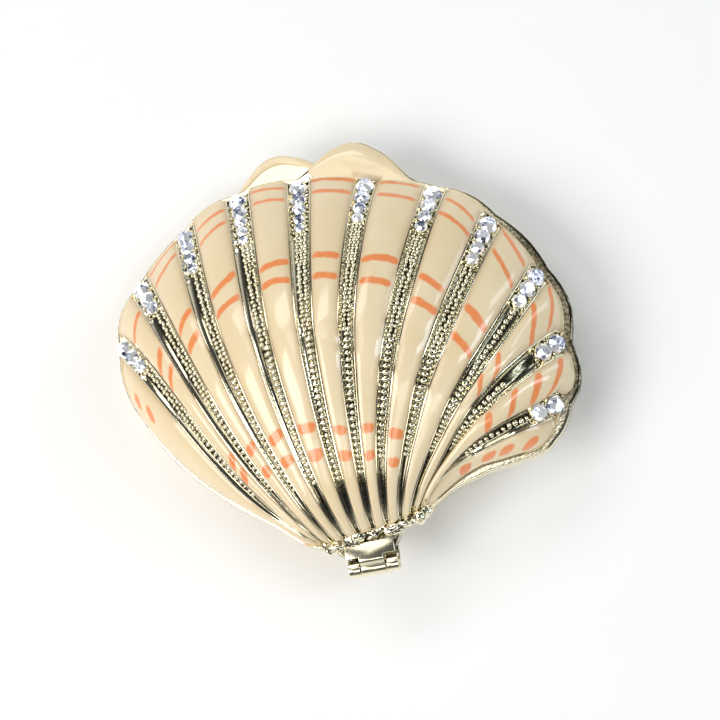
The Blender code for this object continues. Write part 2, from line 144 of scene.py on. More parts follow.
class Graph:
    """The nodes of one material or world, round its shader."""

    def __init__(self, holder: bpy.types.Material | bpy.types.World) -> None:
        """Start the nodes.

        Args:
            holder: The material or world that they belong to.
        """
        self.holder = holder
        holder.use_nodes = True
        self.tree = holder.node_tree
        self.shader = next(node for node in self.tree.nodes if node.type in ("BSDF_PRINCIPLED", "BACKGROUND"))

    def node(self, kind: str, settings: dict, sockets: dict, output: int | str = 0) -> Signal:
        """Add a node.

        Args:
            kind: The node's type.
            settings: Its properties, set first. A ramp's stops are pairs of place and colour.
            sockets: Its inputs by name or number, each a value or a signal.
            output: The output that is wanted.

        Returns:
            The wanted output.
        """
        made = self.tree.nodes.new(kind)
        for name, value in settings.items():
            if name == "stops":
                for index, (place, colour) in enumerate(value):
                    ramp = made.color_ramp.elements
                    stop = ramp[index] if index < 2 else ramp.new(place)
                    stop.position = place
                    stop.color = (*colour, 1.0)
            else:
                setattr(made, name, value)
        for key, value in sockets.items():
            if isinstance(value, Signal):
                self.tree.links.new(value.socket, made.inputs[key])
            else:
                made.inputs[key].default_value = value
        return Signal(self, made.outputs[output])

    def attribute(self, name: str) -> Signal:
        """Return a number that the mesh holds under a name."""
        return self.node("ShaderNodeAttribute", {"attribute_name": name}, {}, "Fac")

    def noise(self, size: float, detail: float = 2.0) -> Signal:
        """Return soft noise.

        Args:
            size: The width of one patch, in metres.
            detail: How many finer layers it holds.

        Returns:
            The noise, about 0.5 on average.
        """
        place = self.node("ShaderNodeTexCoord", {}, {}, "Object")
        return self.node("ShaderNodeTexNoise", {}, {"Vector": place, "Scale": 1 / size, "Detail": detail})

    def blend(self, share: Signal | float, first: Signal | Colour, second: Signal | Colour) -> Signal:
        """Return a colour between two.

        Args:
            share: 0 for the first colour and 1 for the second.
            first: The first colour.
            second: The second colour.

        Returns:
            The mixed colour.
        """
        ends = [end if isinstance(end, Signal) else (*end, 1.0) for end in (first, second)]
        return self.node("ShaderNodeMix", {"data_type": "RGBA"}, {0: share, 6: ends[0], 7: ends[1]}, 2)

    def bump(self, height: Signal, strength: float, depth: float) -> Signal:
        """Return a normal for a height.

        Args:
            height: The height, 0 to 1.
            strength: How much of it counts.
            depth: The height of 1, in metres.

        Returns:
            The normal.
        """
        sockets = {"Strength": strength, "Distance": depth, "Height": height}
        return self.node("ShaderNodeBump", {}, sockets, "Normal")

    def finish(self, **sockets: Signal | float | tuple) -> bpy.types.Material | bpy.types.World:
        """Set the shader's sockets.

        Args:
            sockets: A value or a signal for each socket, whose name has _ for a space.

        Returns:
            The material or world.
        """
        for name, value in sockets.items():
            socket = self.shader.inputs[name.replace("_", " ")]
            if isinstance(value, Signal):
                self.tree.links.new(value.socket, socket)
            else:
                socket.default_value = value
        return self.holder


@dataclass(frozen=True)
class GoldFinish:
    """Polished pale gold plate over a casting, darker where the mesh marks it hollow: painted shade, with
    some tarnish.
    """

    name: str = "pale_gold"
    bright: Colour = (0.96, 0.92, 0.77)
    warm: Colour = (0.87, 0.77, 0.49)
    shade_and_tarnish_dark: Colour = (0.075, 0.062, 0.034)
    roughness: float = 0.07
    patch: float = 4.0 * MM
    pit: float = 0.5 * MM
    pit_depth: float = 0.03 * MM
    least_shade_and_tarnish: float = 0.55
    shade_and_tarnish_mottle: float = 0.7
    roughness_mottle: float = 0.18
    bump_strength: float = 0.5

    def build(self) -> bpy.types.Material:
        """Make the material, which reads the mesh's attribute named hollow for its painted shade and tarnish.

        Returns:
            The material.
        """
        graph = Graph(bpy.data.materials.new(self.name))
        tone = graph.blend(graph.noise(self.patch), self.bright, self.warm)
        # Painted shade, with some tarnish, mottled, where the mesh marks it hollow
        mottle = self.least_shade_and_tarnish + self.shade_and_tarnish_mottle * graph.noise(self.pit)
        hollow = (graph.attribute("hollow") * mottle).clamped()
        pits = graph.noise(self.pit, 3.0)
        return graph.finish(
            Base_Color=graph.blend(hollow, tone, self.shade_and_tarnish_dark),
            Metallic=1.0,
            Roughness=self.roughness + self.roughness_mottle * pits * graph.noise(self.patch),
            Normal=graph.bump(pits, self.bump_strength, self.pit_depth),
        )


@dataclass(frozen=True)
class EnamelFinish:
    """Glossy cream enamel with stripes painted across the ribs."""

    name: str = "cream_enamel"
    cream: Colour = (0.83, 0.65, 0.385)
    pale: Colour = (0.89, 0.76, 0.53)
    shaded: Colour = (0.48, 0.31, 0.15)
    orange: Colour = (0.86, 0.20, 0.045)
    thin_orange: Colour = (0.90, 0.33, 0.11)
    patch: float = 7.0 * MM
    grain: float = 0.9 * MM
    brush: float = 1.1 * MM
    brush_waver: float = 0.5
    paint_edge: float = 0.3
    roughness: float = 0.16
    roughness_mottle: float = 0.08
    least_shade: float = 0.35
    shade_mottle: float = 0.5
    paint_cover: float = 0.93
    paint_height: float = 0.15
    ripple_depth: float = 0.05 * MM
    bump_strength: float = 0.6

    def build(self) -> bpy.types.Material:
        """Make the material, which reads the mesh's attributes named paint and border.

        Returns:
            The material.
        """
        graph = Graph(bpy.data.materials.new(self.name))
        base = graph.blend(graph.noise(self.patch), self.cream, self.pale)
        mottle = self.least_shade + self.shade_mottle * graph.noise(self.grain)
        border = (graph.attribute("border") * mottle).clamped()
        base = graph.blend(border, base, self.shaded)
        waver = (graph.noise(self.brush) - 0.5) * self.brush_waver
        paint = ((graph.attribute("paint") + waver) * (1 / self.paint_edge) + 0.5).clamped()
        colour = graph.blend(graph.noise(self.grain), self.orange, self.thin_orange)
        return graph.finish(
            Base_Color=graph.blend(paint * self.paint_cover, base, colour),
            Roughness=self.roughness + self.roughness_mottle * graph.noise(self.grain),
            Normal=graph.bump(graph.noise(self.patch) + self.paint_height * paint, self.bump_strength,
                              self.ripple_depth),
            Coat_Weight=0.6,
            Coat_Roughness=0.03,
            IOR=1.47,
        )


@dataclass(frozen=True)
class StoneFinish:
    """Foil-backed cut glass with painted sparkle: each facet has its own brightness, standing in for
    reflections, and the glass glows faintly.
    """

    name: str = "rhinestone"
    sparkle_tones: tuple = ((0.0, (0.06, 0.07, 0.11)), (0.22, (0.28, 0.33, 0.46)), (0.42, (0.68, 0.72, 0.81)),
                     (0.68, (0.95, 0.96, 1.0)), (1.0, (1.0, 1.0, 1.0)))
    roughness: float = 0.05
    roughness_mottle: float = 0.04
    streak: float = 0.4 * MM
    streak_strength: float = 1.1

    def build(self) -> bpy.types.Material:
        """Make the material, which reads the mesh's attribute named facet, each facet's painted brightness.

        Returns:
            The material.
        """
        graph = Graph(bpy.data.materials.new(self.name))
        # Painted reflections: noisy streaks brighten and darken the facets
        streaks = self.streak_strength * (graph.noise(self.streak, 0.0) - 0.5)
        shine = (graph.attribute("facet") + streaks).clamped()
        tint = graph.node("ShaderNodeValToRGB", {"stops": self.sparkle_tones}, {0: shine}, "Color")
        return graph.finish(
            Base_Color=tint,
            Metallic=0.9,
            Roughness=self.roughness + self.roughness_mottle * graph.noise(self.streak),
            Coat_Weight=1.0,
            Coat_Roughness=0.01,
            # Painted glow: the stones shine a little though no lamp is in them
            Emission_Color=tint,
            Emission_Strength=0.3,
        )


@dataclass(frozen=True)
class FloorFinish:
    """Plain pale card under the box."""

    name: str = "pale_floor"
    tone: Colour = (0.95, 0.95, 0.95)
    speck: Colour = (0.97, 0.97, 0.97)
    patch: float = 30 * MM

    def build(self) -> bpy.types.Material:
        """Make the material.

        Returns:
            The material.
        """
        graph = Graph(bpy.data.materials.new(self.name))
        tone = graph.blend(graph.noise(self.patch), self.tone, self.speck)
        return graph.finish(Base_Color=tone, Roughness=0.9, Specular_IOR_Level=0.1)


@dataclass
class Finishes:
    """The materials of the whole scene, each made once."""

    gold: bpy.types.Material = field(default_factory=GoldFinish().build)
    polished: bpy.types.Material = field(
        default_factory=GoldFinish("hinge_gold", roughness=0.12, pit_depth=0.008 * MM).build)
    enamel: bpy.types.Material = field(default_factory=EnamelFinish().build)
    stone: bpy.types.Material = field(default_factory=StoneFinish().build)
    floor: bpy.types.Material = field(default_factory=FloorFinish().build)


def mix(start: Array | float, end: Array | float, share: Array | float) -> Array | float:
    """Return the value at a share of the way from start to end."""
    return start + (end - start) * share


def ease(share: Array | float) -> Array:
    """Return 0 to 1 with soft ends, kept in range."""
    kept = np.clip(share, 0.0, 1.0)
    return kept * kept * (3 - 2 * kept)


def away_from(angle: Array, middle: Array | float) -> Array:
    """Return how far an angle is from another, in degrees, between -180 and 180."""
    return (np.asarray(angle, float) - middle + 180.0) % 360.0 - 180.0


def deselect() -> None:
    """Clear the selection, so that an operator acts on its own piece alone."""
    bpy.ops.object.select_all(action="DESELECT")


def activate(piece: bpy.types.Object) -> None:
    """Select one piece alone and make it active.

    Args:
        piece: The piece.
    """
    deselect()
    piece.select_set(True)
    bpy.context.view_layer.objects.active = piece


@contextmanager
def editing(piece: bpy.types.Object) -> Iterator[None]:
    """Open a piece in edit mode with all of it selected, and leave edit mode afterwards.

    Args:
        piece: The piece.

    Returns:
        A context in which mesh operators act on the whole piece.
    """
    activate(piece)
    bpy.ops.object.mode_set(mode="EDIT")
    bpy.ops.mesh.select_all(action="SELECT")
    yield
    bpy.ops.object.mode_set(mode="OBJECT")


def new_object(name: str, data: bpy.types.ID) -> bpy.types.Object:
    """Show a mesh, light or camera in the scene.

    Args:
        name: The object's name.
        data: What it shows.

    Returns:
        The object.
    """
    made = bpy.data.objects.new(name, data)
    bpy.context.scene.collection.objects.link(made)
    return made


def coarse_ball() -> bpy.types.Object:
    """Make a coarse ball.

    Returns:
        The ball, one metre wide.
    """
    deselect()
    bpy.ops.mesh.primitive_uv_sphere_add(segments=8, ring_count=6, radius=0.5)
    return bpy.context.active_object


def take_mesh(piece: bpy.types.Object) -> bpy.types.Mesh:
    """Remove a piece and keep its mesh.

    Args:
        piece: The piece.

    Returns:
        The mesh.
    """
    mesh = piece.data
    bpy.data.objects.remove(piece)
    return mesh


def polar(reach: Array, turn: Array, *height: Array) -> Array:
    """Return points from their reach and turn in radians, and from their height if it is given."""
    return np.stack([reach * np.cos(turn), reach * np.sin(turn), *height], -1)


def travel(points: Array) -> Array:
    """Return how far along a line each of its points lies."""
    return np.concatenate([[0.0], np.cumsum(np.linalg.norm(np.diff(points, axis=0), axis=1))])


def circle(axis: Array, turn: Array) -> Array:
    """Return unit vectors square to an axis.

    Args:
        axis: A unit vector.
        turn: Their angles round it, in radians.

    Returns:
        One vector for each angle.
    """
    aside = np.cross(axis, [0.0, 0.0, 1.0] if abs(axis[2]) < 0.9 else [1.0, 0.0, 0.0])
    aside /= np.linalg.norm(aside)
    other = np.cross(axis, aside)
    return np.cos(turn)[:, None] * aside + np.sin(turn)[:, None] * other


def apply_modifier(piece: bpy.types.Object, kind: str, **settings: object) -> None:
    """Add a modifier to a piece and apply it.

    Args:
        piece: The piece that changes.
        kind: The modifier's type.
        settings: Its properties.
    """
    activate(piece)
    modifier = piece.modifiers.new(kind.title(), kind)
    for name, value in settings.items():
        setattr(modifier, name, value)
    bpy.ops.object.modifier_apply(modifier=modifier.name)


def settle(piece: bpy.types.Object, name: str, material: bpy.types.Material,
           sharp: float) -> bpy.types.Object:
    """Name and finish a piece whose place is in its mesh.

    Args:
        piece: The finished mesh object.
        name: Its name.
        material: Its finish.
        sharp: The angle in degrees past which an edge stays sharp.

    Returns:
        The piece.
    """
    piece.data.transform(piece.matrix_basis)
    piece.matrix_basis = Matrix.Identity(4)
    piece.name = name
    piece.data.name = name
    piece.data.materials.clear()
    piece.data.materials.append(material)
    with editing(piece):
        bpy.ops.mesh.normals_make_consistent(inside=False)
    bpy.ops.object.shade_smooth_by_angle(angle=math.radians(sharp))
    LOG.info("%s: %d faces", name, len(piece.data.polygons))
    return piece


def darken_folds(piece: bpy.types.Object, full: float) -> None:
    """Write the attribute named hollow, from how sharply the surface folds inwards, as painted shade in the
    folds.

    Args:
        piece: The piece.
        full: How far a point lies below its neighbours where it is hollow through and through.
    """
    mesh = piece.data
    points = np.array([vertex.co for vertex in mesh.vertices])
    normals = np.array([vertex.normal for vertex in mesh.vertices])
    ends = np.array([tuple(edge.vertices) for edge in mesh.edges])
    pairs = np.concatenate([ends, ends[:, ::-1]])
    degree = np.bincount(pairs[:, 0], minlength=len(points))

    def around(values: Array) -> Array:
        """Return the mean of each point's neighbours."""
        sums = [np.bincount(pairs[:, 0], column[pairs[:, 1]], len(points)) for column in values.T]
        return np.stack(sums, 1) / degree[:, None]

    fold = ((around(points) - points) * normals).sum(1, keepdims=True)
    for _ in range(3):
        fold = (fold + around(fold)) / 2
    layer = mesh.attributes.new("hollow", "FLOAT", "POINT")
    layer.data.foreach_set("value", np.clip(fold[:, 0] / full, 0.0, 1.0).astype(np.float32))


def place_piece(piece: bpy.types.Object, body: Body, slot: Slot, *nodes: str) -> None:
    """Make a piece ride on its body, and stand for the nodes that it replaces.

    Args:
        piece: The piece.
        body: The body that it moves with.
        slot: The record's slot for its finish; not used.
        nodes: The CAD nodes that it replaces.
    """
    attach(piece, body.value)
    if nodes:
        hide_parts(*nodes)


# Painted shade: how dark a bead is at its middle, and how fast that fades towards its lit top
BED_SHADE = 0.95
BED_FADE = 3.2


class MeshWork:
    """Points and faces of one piece, gathered part by part."""

    def __init__(self) -> None:
        """Start with nothing."""
        self.points: list[Array] = []
        self.faces: list[tuple[int, ...]] = []
        self.values: dict[str, list[Array]] = {}
        self.face_values: list[float] = []
        self.count = 0

    def add(self, points: Array, **values: Array | float) -> Array:
        """Add points and what the mesh holds at them.

        Args:
            points: The places, in any shape that ends in three.
            values: A number or an array for each named attribute.

        Returns:
            The points' numbers, in the same shape.
        """
        shape = points.shape[:-1]
        size = int(np.prod(shape))
        self.points.append(points.reshape(size, 3))
        for name, value in values.items():
            earlier = self.values.setdefault(name, [np.zeros(self.count)] if self.count else [])
            earlier.append(np.broadcast_to(value, shape).reshape(size))
        numbers = np.arange(self.count, self.count + size).reshape(shape)
        self.count += size
        return numbers

    def sheet(self, numbers: Array) -> None:
        """Fill a grid of points with faces."""
        corners = (numbers[:-1, :-1], numbers[:-1, 1:], numbers[1:, 1:], numbers[1:, :-1])
        self.faces += list(zip(*[corner.ravel().tolist() for corner in corners]))

    def belt(self, first: Array, second: Array) -> None:
        """Fill the band between two closed loops of one count."""
        corners = (first, np.roll(first, -1), np.roll(second, -1), second)
        self.faces += list(zip(*[corner.tolist() for corner in corners]))

    def cap(self, loop: Array, tip: Array, **values: float) -> None:
        """Close a loop with a fan of faces to one point.

        Args:
            loop: The loop's points, by number.
            tip: The place of the one point.
            values: A number there for each named attribute.
        """
        top = int(self.add(tip.reshape(1, 3), **values)[0])
        for here, beyond in zip(loop.tolist(), np.roll(loop, -1).tolist()):
            self.faces.append((here, beyond, top))

    def copies(self, mesh: bpy.types.Mesh, places: Sequence[Matrix]) -> None:
        """Add a copy of a mesh at each place, with painted shade low down, where it meets its bed.

        Args:
            mesh: The mesh, about one metre wide.
            places: A matrix for each copy.
        """
        corners = np.array([vertex.co for vertex in mesh.vertices])
        # Painted shade: darker low on each copy, lighter towards its top
        hollow = np.clip(BED_SHADE - BED_FADE * corners[:, 2], 0.0, 1.0)
        rows = [tuple(face.vertices) for face in mesh.polygons]
        for place in places:
            turned = np.array(place)
            start = self.count
            self.add(corners @ turned[:3, :3].T + turned[:3, 3], hollow=hollow)
            self.faces += [tuple(corner + start for corner in row) for row in rows]

    def build(self) -> bpy.types.Object:
        """Make an object of the gathered mesh.

        Returns:
            The object, in the scene.
        """
        mesh = bpy.data.meshes.new("work")
        mesh.from_pydata(np.concatenate(self.points).tolist(), [], self.faces)
        for name, parts in self.values.items():
            held = np.concatenate(parts)
            held = np.concatenate([held, np.zeros(self.count - len(held))])
            layer = mesh.attributes.new(name, "FLOAT", "POINT")
            layer.data.foreach_set("value", held.astype(np.float32))
        if self.face_values:
            layer = mesh.attributes.new("facet", "FLOAT", "FACE")
            layer.data.foreach_set("value", np.array(self.face_values, np.float32))
        return new_object("work", mesh)


@dataclass(frozen=True)
class ShellForm:
    """The plan and the dome that lid and bowl share. Angles are in degrees, with the hinge at 90."""

    width: float = 64.0 * MM
    outline: tuple = (
        (0, 0.97), (20, 0.88), (40, 0.82), (60, 0.81), (75, 0.865), (90, 0.83), (105, 0.82), (120, 0.80),
        (130, 0.83), (137, 0.91), (144, 1.0), (152, 1.015), (160, 1.035), (170, 1.0), (180, 0.995),
        (200, 0.92), (220, 0.885), (240, 0.81), (260, 0.80), (280, 0.84), (300, 0.915), (320, 0.955),
        (340, 1.03),
    )
    # Each channel's angle at the rim, bow and sway in hundredths of the width, and breadth
    channels: tuple = (
        (346.5, 1.3, 1.5, 0.85), (330.0, 1.3, 1.1, 1.1), (311.0, 2.4, 0.6, 1.1), (292.5, 1.3, 0.7, 1.15),
        (273.0, 0.3, 0.4, 1.05), (250.0, 1.4, -0.1, 0.9), (228.0, 1.6, 0.5, 0.92), (209.0, 0.9, 0.6, 0.92),
        (189.0, 0.6, 0.7, 0.88), (170.0, 2.3, 0.2, 1.0), (155.5, 2.0, 0.9, 0.8),
    )
    fullness: float = 1.45
    shoulder_at_hinge: float = 1.95
    shoulder_at_lip: float = 1.03
    beak_angle: float = 93.0
    beak_half_angle: float = 17.5
    beak_spread: float = 73.0
    beak_reach: float = 0.985
    left_side: tuple[float, float] = (71.0, 8.0)
    right_side: tuple[float, float] = (114.0, 146.0)
    channel_at_rim: float = 3.7 * MM
    channel_at_beak: float = 0.5 * MM
    channel_growth: float = 0.45
    channel_share: float = 0.54
    flange: float = 0.5 * MM
    flange_at_ear: float = 1.3 * MM
    ear_side: tuple[float, float, float, float] = (118.0, 130.0, 195.0, 225.0)
    scallop: float = 0.45 * MM
    rim_thickness: float = 1.0 * MM
    hinge_offset: float = -0.1 * MM
    tab_reach: float = 2.0 * MM
    tab_half_angle: float = 12.0
    tab_flatness: float = 2.2
    hinge_from_tab: float = 1.7 * MM
    bow_scale: float = 4.0
    sway_scale: float = 10.0
    crowding: int = 4

    @cached_property
    def middle(self) -> Array:
        """The place of the polar centre, worked out from the frame's hinge.

        Returns:
            A point at the seam's height.
        """
        pivot = frame["joints"][0]["pos_m"]
        back = float(self.reach(90.0)) + self.flange + self.tab_reach + self.hinge_from_tab
        return np.array([pivot[0] - self.hinge_offset, pivot[1] - back, pivot[2]])

    def reach(self, angle: Array | float) -> Array:
        """Return the dome's reach from its middle, by a smooth curve through the outline.

        Args:
            angle: The angle.

        Returns:
            The reach, in metres.
        """
        knots = np.array(self.outline, float)
        turned = np.asarray(angle, float) % 360.0
        place = np.searchsorted(knots[:, 0], turned, side="right") - 1
        count = len(knots)
        angles, shares = [], []
        for step in range(-1, 3):
            index = place + step
            angles.append(knots[index % count, 0] + 360.0 * (index // count))
            shares.append(knots[index % count, 1])
        span = angles[2] - angles[1]
        share = (turned - angles[1]) / span
        slope_in = (shares[2] - shares[0]) / (angles[2] - angles[0]) * span
        slope_out = (shares[3] - shares[1]) / (angles[3] - angles[1]) * span
        square = share * share
        cube = square * share
        value = (2 * cube - 3 * square + 1) * shares[1] + (cube - 2 * square + share) * slope_in
        value += (3 * square - 2 * cube) * shares[2] + (cube - square) * slope_out
        return value * self.width / 2

    def plan(self, share: Array | float, angle: Array | float) -> Array:
        """Return plan points at a share of the dome's reach."""
        return polar(share * self.reach(angle), np.radians(angle))

    def to_polar(self, points: Array) -> tuple[Array, Array]:
        """Return the share of the dome's reach and the angle of plan points."""
        angle = np.degrees(np.arctan2(points[..., 1], points[..., 0])) % 360.0
        return np.hypot(points[..., 0], points[..., 1]) / self.reach(angle), angle

    def rise(self, share: Array, angle: Array) -> Array:
        """Return the dome's height.

        Args:
            share: The share of the dome's reach.
            angle: The angle.

        Returns:
            The height, 1 at the top and 0 at the rim.
        """
        toward_lip = (1 - np.sin(np.radians(angle))) / 2
        shoulder = mix(self.shoulder_at_hinge, self.shoulder_at_lip, toward_lip)
        return np.maximum(0.0, 1 - np.asarray(share) ** self.fullness) ** (1 / shoulder)

    def normal(self, share: Array, angle: Array, height: float) -> Array:
        """Return the dome's outward normals.

        Args:
            share: The share of the dome's reach.
            angle: The angle.
            height: The dome's height at its top.

        Returns:
            Unit vectors.
        """
        inside = np.minimum(share, 0.995)
        low, high = np.maximum(inside - 0.004, 0.0), inside + 0.001
        steep = (self.rise(high, angle) - self.rise(low, angle)) / (high - low) * height
        here = self.plan(inside, angle)
        nudge = 0.02 * MM
        slopes = []
        for axis in np.eye(2) * nudge:
            gain = self.to_polar(here + axis)[0] - self.to_polar(here - axis)[0]
            slopes.append(gain / (2 * nudge) * steep)
        out = np.stack([-slopes[0], -slopes[1], np.ones_like(slopes[0])], -1)
        return out / np.linalg.norm(out, axis=-1, keepdims=True)

    def channel_line(self, number: int, along: Array) -> Array:
        """Return plan points on a channel's middle.

        Args:
            number: The channel.
            along: Places along it, from the beak at 0 to the rim at 1.

        Returns:
            The points.
        """
        rim_angle, bow, sway, _ = self.channels[number]
        half_fan = (len(self.channels) - 1) / 2
        turn = math.radians(self.beak_spread) * (number - half_fan) / half_fan
        widest = math.sin(math.radians(self.beak_spread))
        aim = self.beak_angle + self.beak_half_angle * math.sin(turn) / widest
        start = self.plan(self.beak_reach, aim)
        run = self.plan(1.0, rim_angle) - start
        sideways = np.array([-run[1], run[0]]) / np.hypot(*run) * self.width / 100
        bend = self.bow_scale * along * (1 - along)
        waver = self.sway_scale * along * (1 - along) * (1 - 2 * along)
        return start + run * along[..., None] + sideways * (bow * bend + sway * waver)[..., None]

    def half_channel(self, number: int, along: Array) -> Array:
        """Return half a channel's width, which leaves room for the ribs where lines crowd.

        Args:
            number: The channel.
            along: Places along it, 0 to 1.

        Returns:
            Half the width at each place, in metres.
        """
        here = self.channel_line(number, along)
        beside = [near for near in (number - 1, number + 1) if 0 <= near < len(self.channels)]
        gaps = [np.linalg.norm(self.channel_line(near, along) - here, axis=-1) for near in beside]
        room = self.channel_share * np.minimum.reduce(gaps)
        at_rim = self.channel_at_rim * self.channels[number][3]
        wide = mix(self.channel_at_beak, at_rim, along ** self.channel_growth)
        return wide * room / (wide ** self.crowding + room ** self.crowding) ** (1 / self.crowding) / 2

    def beside(self, number: int, along: Array, offset: Array) -> tuple[Array, Array]:
        """Return the polar place of points beside a channel's middle line.

        Args:
            number: The channel.
            along: The place along it, 0 to 1.
            offset: The distance to one side, in metres.

        Returns:
            The share of the dome's reach, at most 1, and the angle.
        """
        step = 0.01
        run = self.channel_line(number, np.minimum(along + step, 1.0))
        run = run - self.channel_line(number, np.maximum(along - step, 0.0))
        run = run / np.linalg.norm(run, axis=-1, keepdims=True)
        side = np.stack([-run[..., 1], run[..., 0]], -1)
        share, angle = self.to_polar(self.channel_line(number, along) + side * np.asarray(offset)[..., None])
        share = np.where(along >= 1.0, 1.0, np.minimum(share, 1.0))
        return share, angle

    def rib_sides(self, rib: int, along: Array, breadth: float) -> tuple[tuple, tuple]:
        """Return the polar places of a rib's two edges.

        Args:
            rib: The rib, 0 on the plain side and 11 by the ear.
            along: The place along it, 0 to 1.
            breadth: The channels' breadth as a share of the usual one.

        Returns:
            The share and angle of its left edge, and of its right edge.
        """
        last = len(self.channels)
        left = (np.ones_like(along), mix(*self.left_side, along))
        right = (np.ones_like(along), mix(*self.right_side, along))
        if rib > 0:
            left = self.beside(rib - 1, along, -self.half_channel(rib - 1, along) * breadth)
        if rib < last:
            right = self.beside(rib, along, self.half_channel(rib, along) * breadth)
        return left, right

    def across_rib(self, rib: int, along: Array, across: Array, breadth: float) -> tuple[Array, Array]:
        """Return the polar places of a grid over a rib.

        Args:
            rib: The rib.
            along: The rows' places along it, 0 to 1.
            across: The columns' places across it, 0 to 1.
            breadth: The channels' breadth as a share of the usual one.

        Returns:
            The share of the dome's reach and the angle, rows along the rib and columns across it.
        """
        (left_share, left_angle), (right_share, right_angle) = self.rib_sides(rib, along, breadth)
        share = mix(left_share[:, None], right_share[:, None], across[None, :])
        turn = away_from(right_angle, left_angle)
        return share, left_angle[:, None] + turn[:, None] * across[None, :]

    def rib_phase(self, angle: Array) -> Array:
        """Return how near the middle of a rib an angle is at the rim.

        Args:
            angle: The angle.

        Returns:
            0 in a channel and 1 in the middle of a rib.
        """
        stops = [self.left_side[1] + 360.0, *(channel[0] for channel in self.channels), self.right_side[1]]
        turned = np.where(angle % 360.0 > self.left_side[1], angle % 360.0, angle % 360.0 + 360.0)
        phase = np.zeros_like(turned)
        for upper, lower in zip(stops, stops[1:]):
            within = (turned >= lower) & (turned <= upper)
            share = np.clip((turned - lower) / (upper - lower), 0, 1)
            phase = np.where(within, np.sin(np.pi * share), phase)
        return phase

    def ear(self, angle: Array) -> Array:
        """Return where the rim is broad, on the side with the ear.

        Args:
            angle: The angle.

        Returns:
            1 on that side and 0 elsewhere.
        """
        begin, full, fade, end = self.ear_side
        turned = np.asarray(angle, float) % 360.0
        wide = np.clip((turned - begin) / (full - begin), 0, 1) * np.clip((end - turned) / (end - fade), 0, 1)
        return ease(wide)

    def ledge(self, angle: Array) -> Array:
        """Return how far the rim reaches past the dome, furthest on the side with the ear."""
        return mix(self.flange, self.flange_at_ear, self.ear(angle)) + self.scallop * self.rib_phase(angle)

    def tab(self, angle: Array) -> Array:
        """Return how far the tab for the hinge reaches past the rim."""
        aim = math.degrees(math.atan2(float(self.reach(90.0)), self.hinge_offset))
        return self.tab_reach * np.minimum(1.0, self.tab_flatness * swell(angle, aim, self.tab_half_angle))


def swell(angle: Array, middle: float, half_angle: float) -> Array:
    """Return a smooth hump, 1 at the middle angle and 0 past the half angle."""
    share = np.clip(np.abs(away_from(angle, middle)) / half_angle, 0, 1)
    return np.cos(np.pi / 2 * share) ** 1.6


@dataclass(frozen=True)
class Brush:
    """How strokes are painted, in millimetres and in shares of a rib's length."""

    blob_below: float = 0.4
    thin_above: float = 0.86
    plain_rib_shift: float = 1.1
    first_ear_rib: int = 8
    ear_rib_scale: float = 1.4
    edge_half_length: float = 1.15
    edge_half_widths: tuple[float, float] = (0.85, 0.95)
    width_range: tuple[float, float] = (0.9, 1.12)
    length_range: tuple[float, float] = (0.86, 0.97)
    bow_range: tuple[float, float] = (-0.018, 0.004)
    tilt: float = 0.06
    corner: float = 0.85
    unpainted: float = -2.0


@dataclass(frozen=True)
class LipSizes:
    """Sizes of the enamel over a thumb lip, and of the band round the bowl's. Angles are in degrees."""

    bridge_columns: int = 7
    bridge_height: float = 0.25 * MM
    rows: int = 18
    smoothing_rounds: int = 24
    smoothing_share: float = 0.8
    sink: float = 0.05 * MM
    seam_rows: int = 4
    seam_columns: int = 2
    seam_border: float = 0.7
    band_before: float = 13.5
    band_after: float = 15.0
    band_columns: int = 60
    band_rows: int = 9
    band_fade: float = 4.0
    band_inset: float = 0.1 * MM
    band_width: tuple[float, float] = (0.1 * MM, 1.5 * MM)
    band_height: tuple[float, float] = (0.16 * MM, 0.5 * MM)
    band_rise_from: float = 267.0
    band_rise_over: float = 6.0


